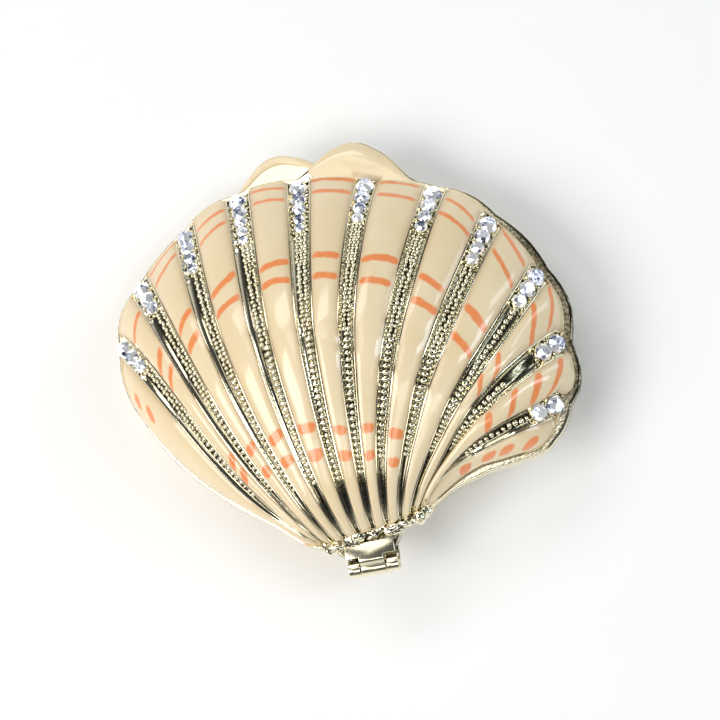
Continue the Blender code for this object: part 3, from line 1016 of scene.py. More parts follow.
@dataclass
class ShellHalf:
    """One half of the box: a hollow gold casting with an enamel rib in each cell."""

    form: ShellForm
    finishes: Finishes
    half: Half
    dome: float
    wall: float
    depth: float
    breadth: float
    lip_angle: float
    lip_half_angle: float
    lip_reach: float
    lip_ribs: tuple[int, int]
    stripes: tuple[tuple[float, ...], ...] = ()
    brush: Brush = Brush()
    lip: LipSizes = LipSizes()
    seam_gap: float = 0.3 * MM
    rim_land: float = 2.2 * MM
    lip_crown: float = 0.7 * MM
    rib_crown: float = 0.45 * MM
    fence: float = 0.3 * MM
    fence_height: float = 0.14 * MM
    under_enamel: float = 0.28 * MM
    enamel_thickness: float = 0.3 * MM
    gold_edge: float = 0.26 * MM
    gold_edge_at_ear: float = 1.2 * MM
    rounding: float = 0.3 * MM
    chamfer: float = 0.12 * MM
    # Where the painted shade on the broad side of the rim begins, and the angle over which it comes in
    shade_from: float = 146.0
    shade_over: float = 14.0
    # Painted shade on the seam face and inside the casting
    seam_hollow: float = 0.1
    inside_hollow: float = 0.15
    inside_steps: int = 10
    bed_columns: int = 6
    slab_shares: tuple[float, ...] = (0.25, 0.5, 0.75, 0.9)
    corner_rings: int = 4
    enamel_proud: float = 0.03 * MM
    fringe_rows: int = 6
    fringe_scallop: float = 0.45
    fringe_unpainted: float = -0.2
    edge_proud: float = 0.08 * MM
    edge_bulge: float = 0.1 * MM
    lip_fall: float = 0.45
    weld: float = 0.002 * MM
    crown_at_beak: float = 0.45
    arch_power: float = 2.8
    border_power: int = 6
    foot_above: float = 0.25 * MM
    rows: int = 150
    rib_columns: int = 17

    @property
    def name(self) -> str:
        """The half's name, which is its CAD node's too."""
        return self.half.name.lower()

    @property
    def body(self) -> Body:
        """The body that the half rides on."""
        return Body.LID if self.half is Half.LID else Body.BASE

    @cached_property
    def along(self) -> Array:
        """Rows from the beak to the rim, closer at both ends."""
        return (1 - np.cos(np.pi * np.arange(self.rows + 1) / self.rows)) / 2

    def reach(self, angle: Array) -> Array:
        """Return how far the rim reaches past the dome, with the thumb lip."""
        return self.form.ledge(angle) + self.lip_reach * self.lip_swell(angle)

    def lip_swell(self, angle: Array) -> Array:
        """Return 1 at the middle of the thumb lip and 0 beyond it."""
        return swell(angle, self.lip_angle, self.lip_half_angle)

    def channel_depth(self, along: Array) -> Array:
        """Return how deep the channels are, half as deep at the beak."""
        return self.depth * mix(0.5, 1.0, along)

    def lip_hump(self, angle: Array, out: Array | float) -> Array:
        """Return how high the thumb lip's back stands, at a share of the way out over the rim."""
        return self.lip_crown * self.lip_swell(angle) * np.sin(np.pi * np.asarray(out) ** 1.35)

    def skin(self, share: Array, angle: Array, relief: Array | float) -> Array:
        """Return points over the dome.

        Args:
            share: The share of the dome's reach.
            angle: The angle.
            relief: How far they are raised along the dome's normal.

        Returns:
            The points of a half drawn dome upwards.
        """
        flat = self.form.plan(share, angle)
        height = self.form.rim_thickness + self.dome * self.form.rise(share, angle)
        lift = self.form.normal(share, angle, self.dome) * np.asarray(relief)[..., None]
        return np.concatenate([flat, height[..., None]], -1) + lift

    def in_place(self, points: Array) -> Array:
        """Return points of a half drawn dome upwards, moved to where the half is."""
        turned = points * np.array([1.0, 1.0, self.half.value])
        return turned + self.form.middle + np.array([0.0, 0.0, self.half.value * self.seam_gap / 2])

    def channel_profile(self, number: int) -> tuple[Array, Array, Array]:
        """Return the offsets, reliefs and hollows of the columns over one channel, the hollows being painted
        shade.

        Args:
            number: The channel.

        Returns:
            Three arrays, rows along the channel and columns across it.
        """
        wide = self.form.half_channel(number, self.along) * self.breadth
        fence = self.fence * wide / (wide + 0.25 * MM)
        inner = wide - fence
        deep = self.channel_depth(self.along)
        high = self.fence_height * fence / self.fence * np.ones_like(wide)
        level = np.zeros_like(wide)
        sunk = -self.under_enamel * np.ones_like(wide)
        # From the edge inwards: the offset, the relief and how hollow it looks, as painted shade in the
        # groove and down the channel's floor
        side = [
            (wide + fence * 0.4, sunk, 0.0), (wide, level - 0.05 * MM, 1.0),
            (wide - fence * 0.15, high * 0.8, 0.0), (wide - fence * 0.5, high, 0.0),
            (wide - fence * 0.85, high * 0.7, 0.0), (inner, level, 0.25), (inner * 0.87, -deep * 0.45, 0.3),
            (inner * 0.72, -deep * 0.8, 0.5), (inner * 0.55, -deep * 0.97, 0.9), (inner * 0.3, -deep, 1.0),
        ]
        mirrored = [(-offset, relief, hollow) for offset, relief, hollow in side[::-1]]
        whole = side + [(level, -deep, 1.0)] + mirrored
        offsets = np.stack([column[0] for column in whole], 1)
        reliefs = np.stack([column[1] for column in whole], 1)
        hollows = np.stack([np.full_like(wide, column[2]) for column in whole], 1)
        return offsets, reliefs, hollows

    def casting_grid(self) -> tuple[Array, Array, Array, Array]:
        """Return the casting's skin as a grid.

        Returns:
            The share, angle, relief and hollow, the last being painted shade, rows along the ribs and columns
            across the half.
        """
        parts: list[tuple[Array, Array, Array, Array]] = []
        last, count = len(self.form.channels), self.bed_columns
        across = np.linspace(0.0, 1.0, count)
        for rib in range(last + 1):
            share, angle = self.form.across_rib(rib, self.along, across, self.breadth)
            keep = slice(0 if rib == 0 else 1, count if rib == last else count - 1)
            sunk = -self.under_enamel * np.ones_like(share)
            sunk[:, [0, -1]] = 0.0
            parts.append((share[:, keep], angle[:, keep], sunk[:, keep], np.zeros_like(share[:, keep])))
            if rib < last:
                offsets, reliefs, hollows = self.channel_profile(rib)
                places = [self.form.beside(rib, self.along, offset) for offset in offsets.T]
                share = np.stack([place[0] for place in places], 1)
                angle = np.stack([place[1] for place in places], 1)
                parts.append((share, angle, reliefs, hollows))
        return tuple(np.concatenate([part[index] for part in parts], 1) for index in range(4))

    def rim_rings(self) -> list[tuple[Callable[[Array], Array], Callable[[Array], Array]]]:
        """Return the rings of the rim, from the skin to the seam.

        Returns:
            Two functions of the angle for each ring: its reach past the dome and its height.
        """
        thick, round_off, cut = self.form.rim_thickness, self.rounding, self.chamfer

        def outer(angle: Array) -> Array:
            """Return the rim's reach past the dome, with the lip and the tab."""
            return self.reach(angle) + self.form.tab(angle)

        rings: list = []
        for out in self.slab_shares:
            rings.append((
                lambda angle, out=out: (outer(angle) - round_off) * out,
                lambda angle, out=out: thick + self.lip_hump(angle, out),
            ))
        for step in range(self.corner_rings):
            turn = math.pi / 2 * step / (self.corner_rings - 1)
            rings.append((
                lambda angle, turn=turn: outer(angle) - round_off * (1 - math.sin(turn)),
                lambda angle, turn=turn: np.full_like(angle, thick - round_off * (1 - math.cos(turn))),
            ))
        rings.append((outer, lambda angle: np.full_like(angle, cut)))
        rings.append((lambda angle: outer(angle) - cut, np.zeros_like))
        rings.append((lambda angle: -self.rim_land + np.zeros_like(angle), np.zeros_like))
        return rings

    def casting(self) -> bpy.types.Object:
        """Build the gold casting, with its rim, its lip and its hollow inside.

        Returns:
            The casting.
        """
        work = MeshWork()
        share, angle, relief, hollow = self.casting_grid()
        points = self.skin(share, angle, relief)
        at_rim = share >= 1.0
        points[..., 2] = np.where(at_rim, self.form.rim_thickness, points[..., 2])
        numbers = work.add(self.in_place(points), hollow=hollow)
        work.sheet(numbers)
        loop = np.concatenate([numbers[::-1, 0], numbers[0, 1:], numbers[1:, -1], numbers[-1, -2:0:-1]])
        around = np.concatenate([angle[::-1, 0], angle[0, 1:], angle[1:, -1], angle[-1, -2:0:-1]])
        around = self.form.left_side[1] + (around - self.form.left_side[1] + 1e-6) % 360.0
        turn = np.radians(around)
        previous = loop
        base = self.form.reach(around)
        # Painted shade on the rim: a dark band on the tab under the collar, and a darker stretch on the broad
        # side
        painted_shade_side = self.form.ear(around) * ease((around % 360.0 - self.shade_from) / self.shade_over)
        shaded = np.clip(self.form.tab(around) / self.form.tab_reach + painted_shade_side, 0, 1)
        for reach_at, height_at in self.rim_rings():
            reach = base + reach_at(around)
            height = height_at(around)
            # Painted shade on the rim's top, and a faint one on the seam face
            rim_shade = np.where(height > 0.0, shaded, self.seam_hollow)
            fresh = work.add(self.in_place(polar(reach, turn, height)), hollow=rim_shade)
            work.belt(previous, fresh)
            previous = fresh
        inside = self.dome + self.form.rim_thickness - self.wall
        # Painted shade: the inside is a little darker
        for step in range(1, self.inside_steps):
            part = math.cos(math.pi / 2 * step / self.inside_steps)
            ring = polar((base - self.rim_land) * part, turn, inside * self.form.rise(part, around))
            fresh = work.add(self.in_place(ring), hollow=self.inside_hollow)
            work.belt(previous, fresh)
            previous = fresh
        work.cap(previous, self.in_place(np.array([0.0, 0.0, inside])), hollow=self.inside_hollow)
        return work.build()

    def paint(self, rib: int, points: Array, across: Array) -> Array:
        """Return how far inside a painted stroke each point is, in millimetres.

        Args:
            rib: The rib.
            points: Its enamel, rows along it and columns across it.
            across: The columns' places, 0 to 1.

        Returns:
            The distances, below zero outside the strokes.
        """
        brush = self.brush
        ink = np.full(points.shape[:2], brush.unpainted)
        travelled = travel(points[:, len(across) // 2]) / MM
        width = np.linalg.norm(points[:, -1] - points[:, 0], axis=1) / MM
        aside = (across[None, :] - 0.5) * width[:, None]
        edge_rib = rib in (0, len(self.form.channels))
        if rib == 0:
            aside = aside - brush.plain_rib_shift
        strokes = self.stripes[rib] if self.stripes else ()
        for index, place in enumerate(strokes):
            hand = np.random.default_rng(100 * rib + index)
            kind = Stroke.THIN if place > brush.thin_above else Stroke.BROAD
            if edge_rib or place < brush.blob_below:
                kind = Stroke.BLOB
            half_width = kind.value * hand.uniform(*brush.width_range)
            if kind is Stroke.THIN and rib >= brush.first_ear_rib:
                half_width *= brush.ear_rib_scale
            half_length = np.interp(place, self.along, width) / 2 * hand.uniform(*brush.length_range)
            if edge_rib:
                half_length = min(half_length, brush.edge_half_length)
                half_width = brush.edge_half_widths[0 if rib == 0 else 1]
            centre = np.interp(place, self.along, travelled)
            tilt = hand.normal(0.0, brush.tilt)
            bow = hand.uniform(*brush.bow_range)
            runs = travelled[:, None] - centre + tilt * aside + bow * aside ** 2
            rounding = half_width * brush.corner
            inner = np.stack([np.abs(aside) - half_length + rounding, np.abs(runs) - half_width + rounding])
            outside = np.hypot(*np.maximum(inner, 0.0)) + np.minimum(inner.max(0), 0.0) - rounding
            ink = np.maximum(ink, -outside)
        return ink

    def enamel_rows(self, rib: int) -> tuple[Array, Array, Array]:
        """Return the points, paint and border of one rib's enamel, out to the rim's gold edge.

        Args:
            rib: The rib.

        Returns:
            Arrays with rows along the rib and columns across it.
        """
        across = np.linspace(0.0, 1.0, self.rib_columns)
        to_edge = np.abs(2 * across - 1)
        share, angle = self.form.across_rib(rib, self.along, across, self.breadth)
        arch = 1 - to_edge ** self.arch_power
        crown = self.rib_crown * mix(self.crown_at_beak, 1.0, self.along)[:, None] * arch[None, :]
        points = self.skin(share, angle, self.enamel_proud + crown)
        paint = self.paint(rib, points, across)
        border = np.broadcast_to(to_edge ** self.border_power, paint.shape) * 1.0
        rim_points, rim_angle = points[-1], angle[-1]
        extra, outs = [], np.linspace(0.0, 1.0, self.fringe_rows + 1)[1:]
        scalloped = 1 - self.fringe_scallop * to_edge ** self.border_power
        for out in outs:
            extra.append(self.over_rim(rim_points, rim_angle, out * scalloped))
        fringe = np.broadcast_to(border[-1], (len(outs), len(across)))
        bare = np.broadcast_to(np.minimum(paint[-1], self.fringe_unpainted), fringe.shape)
        whole = np.concatenate([points, np.stack(extra)])
        return whole, np.concatenate([paint, bare]), np.concatenate([border, fringe])

    def over_rim(self, start: Array, angle: Array, out: Array) -> Array:
        """Return points of the enamel past the dome, over the rim.

        Args:
            start: The points at the dome's edge.
            angle: Their angles.
            out: The share of the way to the gold edge.

        Returns:
            The points.
        """
        turn = np.radians(angle)
        bare = mix(self.gold_edge, self.gold_edge_at_ear, self.form.ear(angle))
        reach = self.form.reach(angle) + self.reach(angle) - bare
        flat = mix(start[:, :2], polar(reach, turn), out[:, None])
        low = self.form.rim_thickness + self.edge_proud + self.lip_hump(angle, out)
        low = low + self.edge_bulge * np.sin(np.pi * out)
        lip = self.lip_swell(angle)
        fall = mix(out ** 2, ease(out / self.lip_fall), lip)
        height = np.maximum(mix(start[:, 2], low, fall), low * lip)
        return np.concatenate([flat, height[:, None]], -1)

    def thicken(self, piece: bpy.types.Object) -> None:
        """Turn a sheet of enamel into a closed body, hanging below its glossy face.

        Args:
            piece: The sheet.
        """
        with editing(piece):
            bpy.ops.mesh.remove_doubles(threshold=self.weld)
            bpy.ops.mesh.normals_make_consistent(inside=False)
        middle = Vector(np.mean([vertex.co for vertex in piece.data.vertices], axis=0))
        face = min(piece.data.polygons, key=lambda polygon: (polygon.center - middle).length)
        up = face.normal.z * self.half.value > 0
        apply_modifier(piece, "SOLIDIFY", thickness=self.enamel_thickness, offset=-1.0 if up else 1.0,
                       use_even_offset=False)

    def rib_piece(self, rib: int) -> bpy.types.Object:
        """Build one rib's enamel.

        Args:
            rib: The rib.

        Returns:
            The enamel.
        """
        work = MeshWork()
        points, paint, border = self.enamel_rows(rib)
        work.sheet(work.add(self.in_place(points), paint=paint, border=border))
        piece = work.build()
        self.thicken(piece)
        return piece

    def rim_angles(self, rib: int) -> Array:
        """Return the angles of a rib's columns at the rim.

        Args:
            rib: The rib.

        Returns:
            The angles, from its left edge to its right one.
        """
        (_, left), (_, right) = self.form.rib_sides(rib, np.array([1.0]), self.breadth)
        return left[0] + away_from(right[0], left[0]) * np.linspace(0, 1, self.rib_columns)

    def lip_piece(self) -> bpy.types.Object:
        """Build the two ribs that run together over the thumb lip, as one sheet of enamel.

        Returns:
            The enamel.
        """
        work, sizes = MeshWork(), self.lip
        first, second = self.lip_ribs
        left, right = self.enamel_rows(first), self.enamel_rows(second)
        inner = self.rows + 1
        for points, paint, border in (left, right):
            work.sheet(work.add(self.in_place(points[:inner]), paint=paint[:inner], border=border[:inner]))
        left_angles, right_angles = self.rim_angles(first), self.rim_angles(second)
        turn = away_from(right_angles[0], left_angles[-1])
        bridge = np.linspace(left_angles[-1], left_angles[-1] + turn, sizes.bridge_columns + 2)[1:-1]
        low = np.full((len(bridge), 1), self.form.rim_thickness + sizes.bridge_height)
        gap = np.concatenate([self.form.plan(1.0, bridge), low], -1)
        start = np.concatenate([left[0][inner - 1], gap, right[0][inner - 1]])
        angles = np.concatenate([left_angles, bridge, right_angles])
        rows = [start]
        for out in np.linspace(0, 1, sizes.rows + 1)[1:]:
            rows.append(self.over_rim(start, angles, np.full_like(angles, out)))
        grid = np.stack(rows)
        height = grid[..., 2]
        bed = height.copy()
        for _ in range(sizes.smoothing_rounds):
            inner_part = height[1:-1, 1:-1]
            around = height[:-2, 1:-1] + height[2:, 1:-1] + height[1:-1, :-2] + height[1:-1, 2:]
            inner_part += sizes.smoothing_share * (around / 4 - inner_part)
            height[1:-1, 1:-1] = np.maximum(inner_part, bed[1:-1, 1:-1] - sizes.sink)
        border = np.zeros(grid.shape[:2])
        seam_start = len(left_angles) - sizes.seam_columns
        seam_end = len(left_angles) + len(bridge) + sizes.seam_columns
        border[:sizes.seam_rows, seam_start:seam_end] = sizes.seam_border
        work.sheet(work.add(self.in_place(grid), paint=self.brush.unpainted, border=border))
        piece = work.build()
        self.thicken(piece)
        return piece

    def lip_band(self) -> None:
        """Build the roll of cream enamel round the bowl's thumb lip, low where the lid covers it."""
        work, sizes = MeshWork(), self.lip
        first, last = self.lip_angle - sizes.band_before, self.lip_angle + sizes.band_after
        angle = np.linspace(first, last, sizes.band_columns)
        turn = np.radians(angle)
        edge = self.form.reach(angle) + self.reach(angle)
        rounded = np.sqrt(np.clip(np.minimum(angle - first, last - angle) / sizes.band_fade, 0.01, 1.0))
        taper = np.sqrt(np.clip(self.lip_swell(angle), 0.02, 1.0)) * rounded
        wide = mix(*sizes.band_width, taper)
        high = mix(*sizes.band_height, ease((angle - sizes.band_rise_from) / sizes.band_rise_over)) * taper
        rows = []
        for step in range(sizes.band_rows):
            way = math.pi * step / (sizes.band_rows - 1)
            reach = edge - sizes.band_inset - wide * (1 - math.cos(way)) / 2
            rows.append(polar(reach, turn, -high * math.sin(way) + sizes.sink))
        grid = np.stack(rows)
        numbers = work.add(self.in_place(grid), paint=self.brush.unpainted, border=0.0)
        work.sheet(numbers)
        work.sheet(np.stack([numbers[-1], numbers[0]]))
        for column in (0, -1):
            work.faces.append(tuple(int(corner) for corner in numbers[:, column]))
        piece = settle(work.build(), "bowl_lip_band", self.finishes.enamel, 60.0)
        place_piece(piece, self.body, Slot.SHELL)

    def cut_foot(self, piece: bpy.types.Object, height: float) -> None:
        """Cut a piece flat below, so that the bowl stands on its gold foot.

        Args:
            piece: The piece.
            height: The height below which it goes.
        """
        with editing(piece):
            bpy.ops.mesh.bisect(plane_co=(0.0, 0.0, height), plane_no=(0.0, 0.0, -1.0), use_fill=True,
                                clear_outer=True, threshold=0.0001 * MM)

    def build(self) -> None:
        """Build and dress the half."""
        casting = self.casting()
        if self.half is Half.BOWL:
            self.cut_foot(casting, 0.0)
        settle(casting, f"{self.name}_casting", self.finishes.gold, 40.0)
        place_piece(casting, self.body, Slot.SHELL, self.name)
        if self.half is Half.BOWL:
            self.lip_band()
        for rib in range(len(self.form.channels) + 1):
            if rib == self.lip_ribs[1]:
                continue
            joined = rib == self.lip_ribs[0]
            piece = self.lip_piece() if joined else self.rib_piece(rib)
            if self.half is Half.BOWL:
                self.cut_foot(piece, self.foot_above)
            label = "lip_enamel" if joined else f"enamel_rib_{rib + 1}"
            settle(piece, f"{self.name}_{label}", self.finishes.enamel, 50.0)
            place_piece(piece, self.body, Slot.SHELL)


@dataclass
class BeadRows:
    """Cast beads down the middle of each channel, from below the stones towards the beak."""

    lid: ShellHalf
    counts: tuple[int, ...]
    starts: tuple[float, ...]
    ends: tuple[float, ...]
    shifts: tuple[float, ...]
    pitch: float = 0.76 * MM
    single: float = 0.92 * MM
    bed_share: float = 0.62
    least_bed: float = 0.34 * MM
    bed_fill: float = 0.92
    single_share: float = 1.75
    widest: float = 2.5
    long_stretch: float = 1.5
    stretch: float = 1.04
    single_length: float = 0.9
    single_step: float = 0.96
    step: float = 0.88
    stagger: float = 0.2
    cut_below: float = 0.2
    samples: int = 400
    long_below: float = 0.5
    wide_above: float = 0.72
    height: float = 0.36 * MM
    jitter: float = 0.12
    wander: float = 0.05
    turn: float = 0.2
    seed: int = 7

    def template(self) -> bpy.types.Mesh:
        """Model one bead: the upper part of a low-cut ball.

        Returns:
            The bead's mesh, one metre wide.
        """
        ball = coarse_ball()
        with editing(ball):
            bpy.ops.mesh.bisect(plane_co=(0, 0, -self.cut_below), plane_no=(0, 0, -1), use_fill=True,
                                clear_outer=True)
        return take_mesh(ball)

    def places(self, number: int) -> list[Matrix]:
        """Return where the beads of one channel lie, with their sizes.

        Args:
            number: The channel.

        Returns:
            A matrix for each bead.
        """
        lid = self.lid
        form = lid.form
        chance = np.random.default_rng(self.seed + number)
        fine = np.linspace(self.starts[number], self.ends[number], self.samples)
        share, angle = form.beside(number, fine, np.zeros_like(fine))
        travelled = travel(lid.in_place(lid.skin(share, angle, -lid.channel_depth(fine))))
        made: list[Matrix] = []
        at = 0.0
        step = 0
        while at < travelled[-1]:
            along = float(np.interp(at, travelled, fine))
            wide = float(form.half_channel(number, np.array([along]))[0])
            bed = max(self.bed_share * wide, self.least_bed)
            columns = self.columns(number, along)
            alone = columns == 1
            size = min(self.single_share * bed, self.single) if alone else min(self.pitch, 2 * bed / columns)
            for column in range(columns):
                share = (column + 0.5) / columns - 0.5
                aside = share * 2 * bed * self.bed_fill + self.shifts[number] * wide
                aside += (self.stagger * size * (step % 2 - 0.5) * (columns > 1)
                          + chance.normal(0, self.wander) * size)
                stretch = self.long_stretch if alone and along < self.long_below else self.stretch
                width = min(size * stretch * (1 + chance.normal(0, self.jitter)), self.widest * bed)
                run = size * (self.single_length if alone else 1.0) * (1 + chance.normal(0, self.jitter))
                turn = chance.normal(0, self.turn)
                made.append(self.bead_matrix(number, along, aside, (width, run), turn))
            at += size * (self.single_step if alone else self.step)
            step += 1
        return made

    def columns(self, number: int, along: float) -> int:
        """Return how many beads lie side by side at a place along a channel.

        Args:
            number: The channel.
            along: The place, 0 to 1.

        Returns:
            The count.
        """
        at_rim = self.counts[number]
        if along > self.wide_above:
            return at_rim
        return min(at_rim, 2) if along > self.long_below else 1

    def bead_matrix(self, number: int, along: float, aside: float, size: tuple[float, float],
                    turn: float) -> Matrix:
        """Return the matrix that puts the template on a channel's floor.

        Args:
            number: The channel.
            along: The place along it, 0 to 1.
            aside: The distance to one side.
            size: The bead's breadth across the channel and its length along it.
            turn: How far it is turned on the floor, in radians.

        Returns:
            The matrix.
        """
        width, run = size
        point, normal, forward = floor_frame(self.lid, number, np.array([along]), aside)
        sideways = np.cross(normal, forward)
        spin = math.cos(turn) * forward + math.sin(turn) * sideways
        across = np.cross(normal, spin)
        frame_of_bead = np.eye(4)
        frame_of_bead[:3, 0] = across * width
        frame_of_bead[:3, 1] = spin * run
        frame_of_bead[:3, 2] = normal * self.height * 2
        frame_of_bead[:3, 3] = point
        return Matrix(frame_of_bead)

    def build(self) -> None:
        """Build the beads of each channel as one piece."""
        bead = self.template()
        for number in range(len(self.lid.form.channels)):
            work = MeshWork()
            work.copies(bead, self.places(number))
            piece = settle(work.build(), f"bead_row_{number + 1}", self.lid.finishes.gold, 80.0)
            place_piece(piece, Body.LID, Slot.SHELL)


def floor_frame(lid: ShellHalf, number: int, along: Array, aside: float) -> tuple[Array, Array, Array]:
    """Return a point on a channel's floor, its normal and the way towards the rim.

    Args:
        lid: The lid.
        number: The channel.
        along: One place along it, as an array.
        aside: The distance to one side.

    Returns:
        Three vectors, in place.
    """
    form = lid.form
    depth = lid.channel_depth(along)
    here = form.beside(number, along, np.full_like(along, aside))
    ahead = form.beside(number, along + 0.01, np.full_like(along, aside))
    point = lid.in_place(lid.skin(*here, -depth))[0]
    beyond = lid.in_place(lid.skin(*ahead, -depth))[0]
    normal = form.normal(*here, lid.dome)[0]
    forward = beyond - point
    forward = forward - normal * (forward @ normal)
    return point, normal, forward / np.linalg.norm(forward)


@dataclass
class Rhinestones:
    """Round cut stones in low gold cups, with small prongs beside them."""

    lid: ShellHalf
    sides: int = 16
    foot: float = 0.82
    table: float = 0.56
    star: float = 0.78
    star_height: float = 0.72
    girdle: float = 0.3
    growth: float = 1.12
    cup_sides: int = 20
    # From the foot up and inwards: the share of the stone's width, and the height in millimetres
    cup_rings: tuple = ((1.04, -0.5), (1.05, 0.05), (1.0, 0.1), (0.9, 0.02), (0.88, -0.1))
    prong: float = 0.46 * MM
    prong_jitter: float = 0.12
    prong_gap: float = 0.16 * MM
    prong_lift: float = 0.02 * MM
    # The side of the stone, and the share of its radius towards the middle of the box
    prong_spots: tuple = ((1, 0.75), (-1, 0.75), (1, -0.2), (-1, -0.2))
    facet_spread: tuple[float, float] = (1.1, 0.7)
    seed: int = 3

    def stone(self, work: MeshWork, centre: Array, axis: Array, width: float, height: float,
              chance: np.random.Generator) -> None:
        """Add one cut stone: a girdle, a crown of star and kite facets, and a flat table.

        Args:
            work: The mesh that it joins.
            centre: The middle of its back.
            axis: The way that it faces.
            width: Its width.
            height: Its height.
            chance: The source of the facets' painted brightness.
        """
        spin = chance.uniform(0, math.pi)

        def ring(count: int, reach: float, level: float, phase: float) -> Array:
            """Add a ring of corners at a share of the stone's width and height, and return their numbers."""
            turn = spin + 2 * np.pi * (np.arange(count) + phase) / count
            return work.add(centre + circle(axis, turn) * reach * width / 2 + axis * level * height)

        half = self.sides // 2
        foot = ring(self.sides, self.foot, 0.0, 0.0)
        girdle = ring(self.sides, 1.0, self.girdle, 0.0)
        star = ring(half, self.star, self.star_height, 0.0)
        table = ring(half, self.table, 1.0, 0.5)
        faces: list[tuple[int, ...]] = [tuple(foot[::-1].tolist()), tuple(table.tolist())]
        for side in range(self.sides):
            beyond = (side + 1) % self.sides
            faces.append((foot[side], foot[beyond], girdle[beyond], girdle[side]))
        for side in range(half):
            beyond = (side + 1) % half
            left, right, top = girdle[2 * side], girdle[(2 * side + 2) % self.sides], girdle[2 * side + 1]
            faces.append((left, top, star[side]))
            faces.append((top, right, star[beyond]))
            faces.append((star[side], top, star[beyond], table[side]))
            faces.append((star[beyond], table[beyond], table[side]))
        for face in faces:
            work.faces.append(tuple(int(corner) for corner in face))
            # Painted sparkle: a random brightness for each facet
            work.face_values.append(float(chance.beta(*self.facet_spread)))

    def cup(self, work: MeshWork, centre: Array, axis: Array, width: float) -> None:
        """Add the gold cup that a stone stands in.

        Args:
            work: The mesh that it joins.
            centre: The middle of the stone's back.
            axis: The way that the stone faces.
            width: The stone's width.
        """
        around = circle(axis, 2 * np.pi * np.arange(self.cup_sides) / self.cup_sides)
        # Painted shade: the cup's sides a little darker and its caps darker still
        rings = []
        for reach, level in self.cup_rings:
            rings.append(work.add(centre + around * reach * width / 2 + axis * level * MM, hollow=0.1))
        for lower, upper in zip(rings, rings[1:]):
            work.belt(lower, upper)
        work.cap(rings[0][::-1], centre + axis * self.cup_rings[0][1] * MM, hollow=0.5)
        work.cap(rings[-1], centre + axis * self.cup_rings[-1][1] * MM, hollow=0.5)

    def build(self) -> None:
        """Replace each channel's stones with cut ones."""
        chance = np.random.default_rng(self.seed)
        prong = take_mesh(coarse_ball())
        for number in range(len(self.lid.form.channels)):
            names = sorted(name for name in frame["nodes"] if name.startswith(f"rhinestone_{number + 1}_"))
            stones, settings = MeshWork(), MeshWork()
            prongs: list[Matrix] = []
            for name in names:
                centre, axis, width, height = stone_place(frame["nodes"][name], self.lid.form.middle)
                width *= self.growth
                self.stone(stones, centre, axis, width, height, chance)
                self.cup(settings, centre, axis, width)
                prongs += self.prong_places(centre, axis, width, chance)
            settings.copies(prong, prongs)
            gems = settle(stones.build(), f"rhinestones_{number + 1}", self.lid.finishes.stone, 5.0)
            place_piece(gems, Body.LID, Slot.STONE, *names)
            held = settle(settings.build(), f"stone_settings_{number + 1}", self.lid.finishes.gold, 60.0)
            place_piece(held, Body.LID, Slot.GOLD)

    def prong_places(self, centre: Array, axis: Array, width: float,
                     chance: np.random.Generator) -> list[Matrix]:
        """Return where the small beads beside one stone lie.

        Args:
            centre: The middle of the stone's back.
            axis: The way that the stone faces.
            width: The stone's width.
            chance: The source of their sizes.

        Returns:
            A matrix for each.
        """
        toward = self.lid.in_place(np.zeros(3)) - centre
        toward -= axis * (toward @ axis)
        toward /= np.linalg.norm(toward)
        side = np.cross(axis, toward)
        made = []
        for left, forward in self.prong_spots:
            spot = centre + side * left * (width * 0.5 + self.prong_gap) + toward * forward * width / 2
            size = self.prong * (1 + chance.normal(0, self.prong_jitter))
            made.append(Matrix.Translation(Vector(spot + axis * self.prong_lift)) @ Matrix.Scale(size, 4))
        return made


def stone_place(node: bpy.types.Object, middle: Array) -> tuple[Array, Array, float, float]:
    """Return the middle of a stone's back, the way that it faces, its width and its height.

    Args:
        node: The CAD stone.
        middle: A point inside the box.

    Returns:
        The stone's place and size.
    """
    corners = np.array([vertex.co for vertex in node.data.vertices])
    centre = (corners.min(0) + corners.max(0)) / 2
    unlike = np.unique(corners.round(7), axis=0)
    _, _, axes = np.linalg.svd(unlike - unlike.mean(0))
    axis = axes[-1]
    if axis @ (centre - middle) < 0:
        axis = -axis
    levels = corners @ axis
    flat = corners - np.outer(levels, axis)
    heart = (flat.min(0) + flat.max(0)) / 2
    width = 2 * np.linalg.norm(flat - heart, axis=1).max()
    return heart + axis * levels.min(), axis, float(width), float(levels.max() - levels.min())


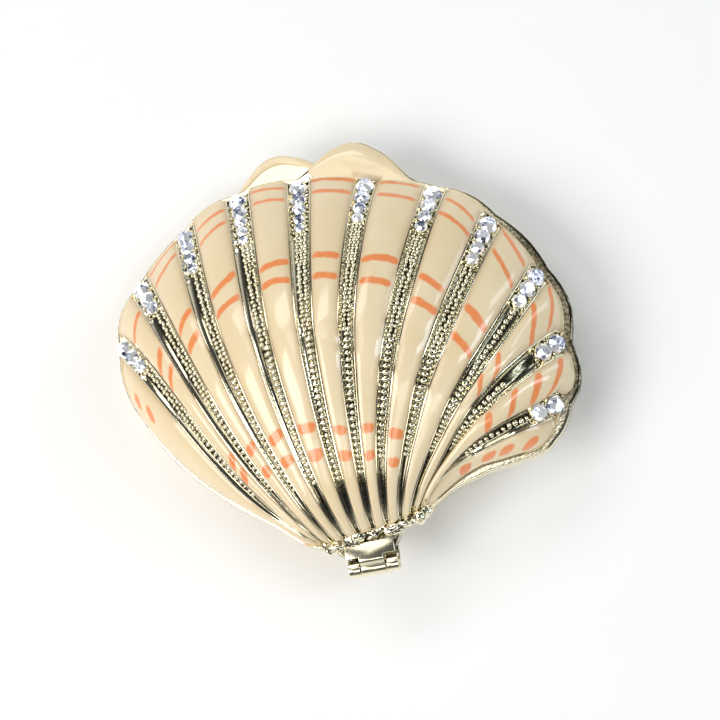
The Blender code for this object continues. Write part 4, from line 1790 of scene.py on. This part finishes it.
@dataclass
class Collar:
    """Lumpy gold across the rib ends, where the casting was finished by hand."""

    lid: ShellHalf
    first_angle: float = 77.5
    last_angle: float = 109.0
    lumps: int = 21
    size: float = 1.32 * MM
    voxel: float = 0.13 * MM
    roughness_size: float = 0.8 * MM
    roughness_depth: float = 0.7 * MM
    deep_fold: float = 0.004 * MM
    angle_jitter: float = 0.3
    # Ranges of a lump's reach past the dome and of its height over the rim, both in millimetres
    out_range: tuple[float, float] = (-0.5, 0.55)
    height_range: tuple[float, float] = (0.35, 1.15)
    # Ranges of a lump's size and of its stretch along X, Y and Z, as shares
    size_range: tuple[float, float] = (0.65, 1.1)
    stretch_ranges: tuple = ((0.9, 1.4), (0.7, 1.0), (0.8, 1.1))
    seed: int = 11

    def build(self) -> None:
        """Model the collar from lumps melted into one."""
        chance = np.random.default_rng(self.seed)
        form = self.lid.form
        pieces = []
        for lump in range(self.lumps):
            angle = mix(self.first_angle, self.last_angle, (lump + 0.5) / self.lumps)
            angle += chance.normal(0, self.angle_jitter)
            reach = float(form.reach(angle)) + chance.uniform(*self.out_range) * MM
            height = form.rim_thickness + chance.uniform(*self.height_range) * MM
            turn = math.radians(angle)
            place = self.lid.in_place(np.array([reach * math.cos(turn), reach * math.sin(turn), height]))
            deselect()
            radius = self.size * chance.uniform(*self.size_range)
            bpy.ops.mesh.primitive_ico_sphere_add(subdivisions=2, radius=radius, location=place)
            ball = bpy.context.active_object
            ball.scale = [chance.uniform(*limits) for limits in self.stretch_ranges]
            pieces.append(ball)
        deselect()
        for ball in pieces:
            ball.select_set(True)
        bpy.context.view_layer.objects.active = pieces[0]
        bpy.ops.object.join()
        collar = bpy.context.active_object
        bpy.ops.object.transform_apply(location=True, rotation=True, scale=True)
        apply_modifier(collar, "REMESH", mode="VOXEL", voxel_size=self.voxel)
        rough = bpy.data.textures.new("rough_casting", "CLOUDS")
        rough.noise_scale = self.roughness_size
        apply_modifier(collar, "DISPLACE", texture=rough, strength=self.roughness_depth, mid_level=0.55)
        apply_modifier(collar, "SMOOTH", factor=0.6, iterations=4)
        # Painted shade in the creases between the collar's lumps
        darken_folds(collar, self.deep_fold)
        settle(collar, "collar", self.lid.finishes.gold, 80.0)
        place_piece(collar, Body.LID, Slot.GOLD)


@dataclass
class Hinge:
    """Two sheet leaves rolled round a pin."""

    finishes: Finishes
    pin_radius: float = 0.45 * MM
    clearance: float = 0.3 * MM
    sheet: float = 0.5 * MM
    knuckle: float = 3.4 * MM
    gap: float = 0.22 * MM
    edge: float = 0.1 * MM
    bend_reach: float = 0.95 * MM
    notch: float = 1.3 * MM
    notch_depth: float = 6.0 * MM
    beyond: float = 1.0 * MM
    bevel_angle: float = 50.0
    roll_turn: float = 300.0
    bend_points: int = 15
    sides: int = 56

    def middle_line(self, plate_start: float, plate_height: float, axis: Vector, up: float) -> Array:
        """Return the bent sheet's middle line in depth and height, from the plate to the roll's end.

        Args:
            plate_start: The depth at which the plate begins.
            plate_height: The height of the middle of the plate's sheet.
            axis: A point on the hinge's axis.
            up: 1 for the lid's leaf and -1 for the bowl's.

        Returns:
            The points in order.
        """
        radius = self.pin_radius + self.clearance + self.sheet / 2
        bend = axis.y - self.bend_reach
        slope = ease(np.linspace(0.0, 1.0, self.bend_points))
        depths = np.linspace(bend, axis.y, self.bend_points)
        heights = mix(plate_height, axis.z + up * radius, slope)
        way = np.radians(90.0 - np.linspace(0.0, self.roll_turn, self.sides)[1:])
        roll = np.stack([axis.y + radius * np.cos(way), axis.z + up * radius * np.sin(way)], -1)
        return np.concatenate([[[plate_start, plate_height]], np.stack([depths, heights], -1), roll])

    def cut(self, leaf: bpy.types.Object, left: float, right: float, axis: Vector) -> None:
        """Cut one stretch of a leaf's roll away, to leave room for the other leaf's knuckle.

        Args:
            leaf: The leaf.
            left: The stretch's one end, along the axis.
            right: Its other end.
            axis: A point on the hinge's axis.
        """
        deselect()
        depth = self.notch_depth
        middle = ((left + right) / 2, axis.y - self.notch + depth / 2, axis.z)
        bpy.ops.mesh.primitive_cube_add(size=1.0, location=middle)
        block = bpy.context.active_object
        block.scale = (right - left, depth, depth)
        bpy.ops.object.transform_apply(location=True, rotation=True, scale=True)
        apply_modifier(leaf, "BOOLEAN", operation="DIFFERENCE", object=block, solver="EXACT")
        bpy.data.objects.remove(block)

    def leaf(self, node: str, gaps: Sequence[tuple[float, float]], axis: Vector,
             up: float) -> bpy.types.Object:
        """Model one leaf: a sheet that bends down and rolls round the pin.

        Args:
            node: The CAD leaf, whose box gives the plate's size.
            gaps: The two ends of each stretch without a roll, along the axis.
            axis: A point on the hinge's axis.
            up: 1 for the lid's leaf and -1 for the bowl's.

        Returns:
            The leaf.
        """
        low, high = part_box(node)
        plate_height = (high.z if up > 0 else low.z) - up * self.sheet / 2
        line = self.middle_line(low.y, plate_height, axis, up)
        run = np.gradient(line, axis=0)
        run /= np.linalg.norm(run, axis=1, keepdims=True)
        side = np.stack([-run[:, 1], run[:, 0]], -1) * self.sheet / 2
        loop = np.concatenate([line + side, (line - side)[::-1]])
        work = MeshWork()
        rings = []
        for across in (low.x, high.x):
            rings.append(work.add(np.concatenate([np.full((len(loop), 1), across), loop], 1)))
        work.belt(*rings)
        count = len(line)
        for ring in rings:
            for step in range(count - 1):
                corners = (ring[step], ring[step + 1], ring[2 * count - step - 2], ring[2 * count - step - 1])
                work.faces.append(tuple(int(corner) for corner in corners))
        whole = work.build()
        with editing(whole):
            bpy.ops.mesh.normals_make_consistent(inside=False)
        for left, right in gaps:
            self.cut(whole, left, right, axis)
        apply_modifier(whole, "BEVEL", width=self.edge, segments=3, limit_method="ANGLE",
                       angle_limit=math.radians(self.bevel_angle))
        return whole

    def build(self) -> None:
        """Build both leaves and dress the pin."""
        axis = Vector(frame["joints"][0]["pos_m"])
        low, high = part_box("hinge_pin")
        middle = (low.x + high.x) / 2
        half = self.knuckle / 2
        sides = [(low.x - self.beyond, middle - half), (middle + half, high.x + self.beyond)]
        lid_leaf = self.leaf("hinge_lid_leaf", sides, axis, 1.0)
        settle(lid_leaf, "lid_leaf", self.finishes.polished, 30.0)
        place_piece(lid_leaf, Body.LID, Slot.GOLD, "hinge_lid_leaf")
        room = half + self.gap
        bowl_leaf = self.leaf("hinge_bowl_leaf", [(middle - room, middle + room)], axis, -1.0)
        settle(bowl_leaf, "bowl_leaf", self.finishes.polished, 30.0)
        place_piece(bowl_leaf, Body.BASE, Slot.GOLD, "hinge_bowl_leaf")
        pin = frame["nodes"]["hinge_pin"]
        pin.data.materials.clear()
        pin.data.materials.append(self.finishes.polished)


WARM_LIGHT = (1.0, 0.97, 0.92)


@dataclass
class Studio:
    """Pale floor, soft lights and a camera that looks down from beyond the hinge."""

    finishes: Finishes
    azimuth: float = 37.64
    elevation: float = 72.74
    roll: float = 48.59
    distance: float = 189.7 * MM
    pixels_per_metre: float = 7021.0
    aim: tuple[float, float, float] = (-0.493 * MM, 0.983 * MM, 10.7 * MM)
    aim_pixel: tuple[float, float] = (344.64, 357.18)
    image_size: float = 720.0
    sensor_width: float = 36.0
    clip_start: float = 0.01
    light_distance: float = 0.6
    floor_size: float = 1.3
    floor_drop: float = 0.02 * MM
    # The sky's tones, from the horizon at 0 to straight overhead at 1
    tones: tuple = ((0.0, (0.88, 0.89, 0.91)), (0.3, (0.10, 0.105, 0.115)), (1.0, (0.07, 0.075, 0.08)))

    def camera(self) -> None:
        """Set the camera from its angles, with the aim at its pixel."""
        turn, lift, roll = (math.radians(angle) for angle in (self.azimuth, self.elevation, self.roll))
        back = Vector((-math.sin(turn) * math.cos(lift), math.cos(turn) * math.cos(lift), math.sin(lift)))
        level = Vector((-math.cos(turn), -math.sin(turn), 0.0))
        up = back.cross(level)
        right = math.cos(roll) * level - math.sin(roll) * up
        upward = math.sin(roll) * level + math.cos(roll) * up
        data = bpy.data.cameras.new("camera")
        data.sensor_width = self.sensor_width
        data.lens = data.sensor_width * self.pixels_per_metre * self.distance / self.image_size
        data.shift_x = (self.image_size / 2 - self.aim_pixel[0]) / self.image_size
        data.shift_y = (self.aim_pixel[1] - self.image_size / 2) / self.image_size
        data.clip_start = self.clip_start
        camera = new_object("camera", data)
        place = Vector(self.aim) + back * self.distance
        camera.matrix_world = Matrix.Translation(place) @ Matrix((right, upward, back)).transposed().to_4x4()
        bpy.context.scene.camera = camera

    def light(self, name: str, azimuth: float, elevation: float, size: tuple[float, float], power: float,
              tint: Colour) -> None:
        """Hang one soft light that faces the box.

        Args:
            name: Its name.
            azimuth: The way round, in degrees from +X.
            elevation: The way up, in degrees.
            size: Its two sides.
            power: Its strength, in watts.
            tint: Its colour.
        """
        data = bpy.data.lights.new(name, "AREA")
        data.shape = "RECTANGLE"
        data.size, data.size_y = size
        data.energy = power
        data.color = tint
        lamp = new_object(name, data)
        turn, lift = math.radians(azimuth), math.radians(elevation)
        way = Vector((math.cos(turn) * math.cos(lift), math.sin(turn) * math.cos(lift), math.sin(lift)))
        lamp.location = way * self.light_distance
        lamp.rotation_mode = "QUATERNION"
        lamp.rotation_quaternion = way.to_track_quat("Z", "Y")

    def build(self) -> None:
        """Lay the floor, hang the lights and set the camera."""
        deselect()
        bpy.ops.mesh.primitive_plane_add(size=self.floor_size, location=(0.0, 0.0, -self.floor_drop))
        floor = bpy.context.active_object
        floor.name = "floor"
        floor.data.materials.append(self.finishes.floor)
        graph = Graph(bpy.data.worlds.new("studio"))
        way = graph.node("ShaderNodeTexCoord", {}, {}, "Generated")
        lift = graph.node("ShaderNodeSeparateXYZ", {}, {"Vector": way}, "Z")
        sky = graph.node("ShaderNodeValToRGB", {"stops": self.tones}, {0: lift}, "Color")
        bpy.context.scene.world = graph.finish(Color=sky, Strength=1.0)
        self.light("key_light", 25.0, 50.0, (0.42, 0.30), 2.2, WARM_LIGHT)
        self.light("window_left", 178.0, 42.0, (0.12, 0.34), 0.8, (0.74, 0.88, 1.0))
        self.light("window_right", 205.0, 24.0, (0.12, 0.3), 0.35, (0.8, 0.9, 1.0))
        self.light("lip_light", -70.0, 48.0, (0.4, 0.2), 0.9, WARM_LIGHT)
        self.light("hinge_light", 95.0, 56.0, (0.34, 0.20), 0.55, WARM_LIGHT)
        self.light("top_card", -52.5, 72.7, (0.24, 0.24), 0.3, (1.0, 0.98, 0.94))
        self.camera()
        bpy.context.scene.view_settings.view_transform = "Standard"


# Where the painted stripes cross each rib, from the rim inwards, as shares of the rib's length
STRIPES = (
    (0.875, 0.79), (0.91, 0.75, 0.68, 0.345, 0.29), (0.985, 0.935, 0.725, 0.655, 0.31, 0.235),
    (0.965, 0.915, 0.73, 0.66, 0.285, 0.22), (0.985, 0.94, 0.715, 0.66, 0.275, 0.205),
    (0.99, 0.945, 0.725, 0.66, 0.25, 0.185), (0.99, 0.94, 0.715, 0.645, 0.25, 0.18),
    (0.96, 0.905, 0.69, 0.615, 0.24, 0.16), (0.97, 0.88, 0.675, 0.575), (0.96, 0.87, 0.64, 0.545),
    (0.92, 0.815, 0.68, 0.525), (0.78, 0.65, 0.53, 0.34),
)


def main() -> None:
    """Build the box piece by piece."""
    logging.basicConfig(level=logging.INFO, format="%(message)s")
    form = ShellForm()
    finishes = Finishes()
    Studio(finishes).build()
    lid = ShellHalf(form, finishes, Half.LID, dome=12.4 * MM, wall=1.7 * MM, depth=0.55 * MM, breadth=1.0,
                    lip_angle=254.5, lip_half_angle=20.0, lip_reach=5.1 * MM, lip_ribs=(5, 6),
                    stripes=STRIPES)
    lid.build()
    bowl = ShellHalf(form, finishes, Half.BOWL, dome=10.2 * MM, wall=3.25 * MM, depth=0.4 * MM, breadth=0.4,
                     lip_angle=277.0, lip_half_angle=18.0, lip_reach=4.5 * MM, lip_ribs=(3, 4))
    bowl.build()
    BeadRows(lid, counts=(2, 2, 2, 3, 3, 3, 3, 2, 1, 1, 1), starts=(0.89,) * 9 + (0.66, 0.84),
             ends=(0.25, 0.19, 0.15, 0.135, 0.13, 0.14, 0.16, 0.18, 0.22, 0.3, 0.35),
             shifts=(-0.22, -0.25, -0.22, -0.18, -0.05, 0.0, 0.0, -0.05, -0.08, -0.1, -0.1)).build()
    Rhinestones(lid).build()
    Collar(lid).build()
    Hinge(finishes).build()


if __name__ == "__main__":
    main()
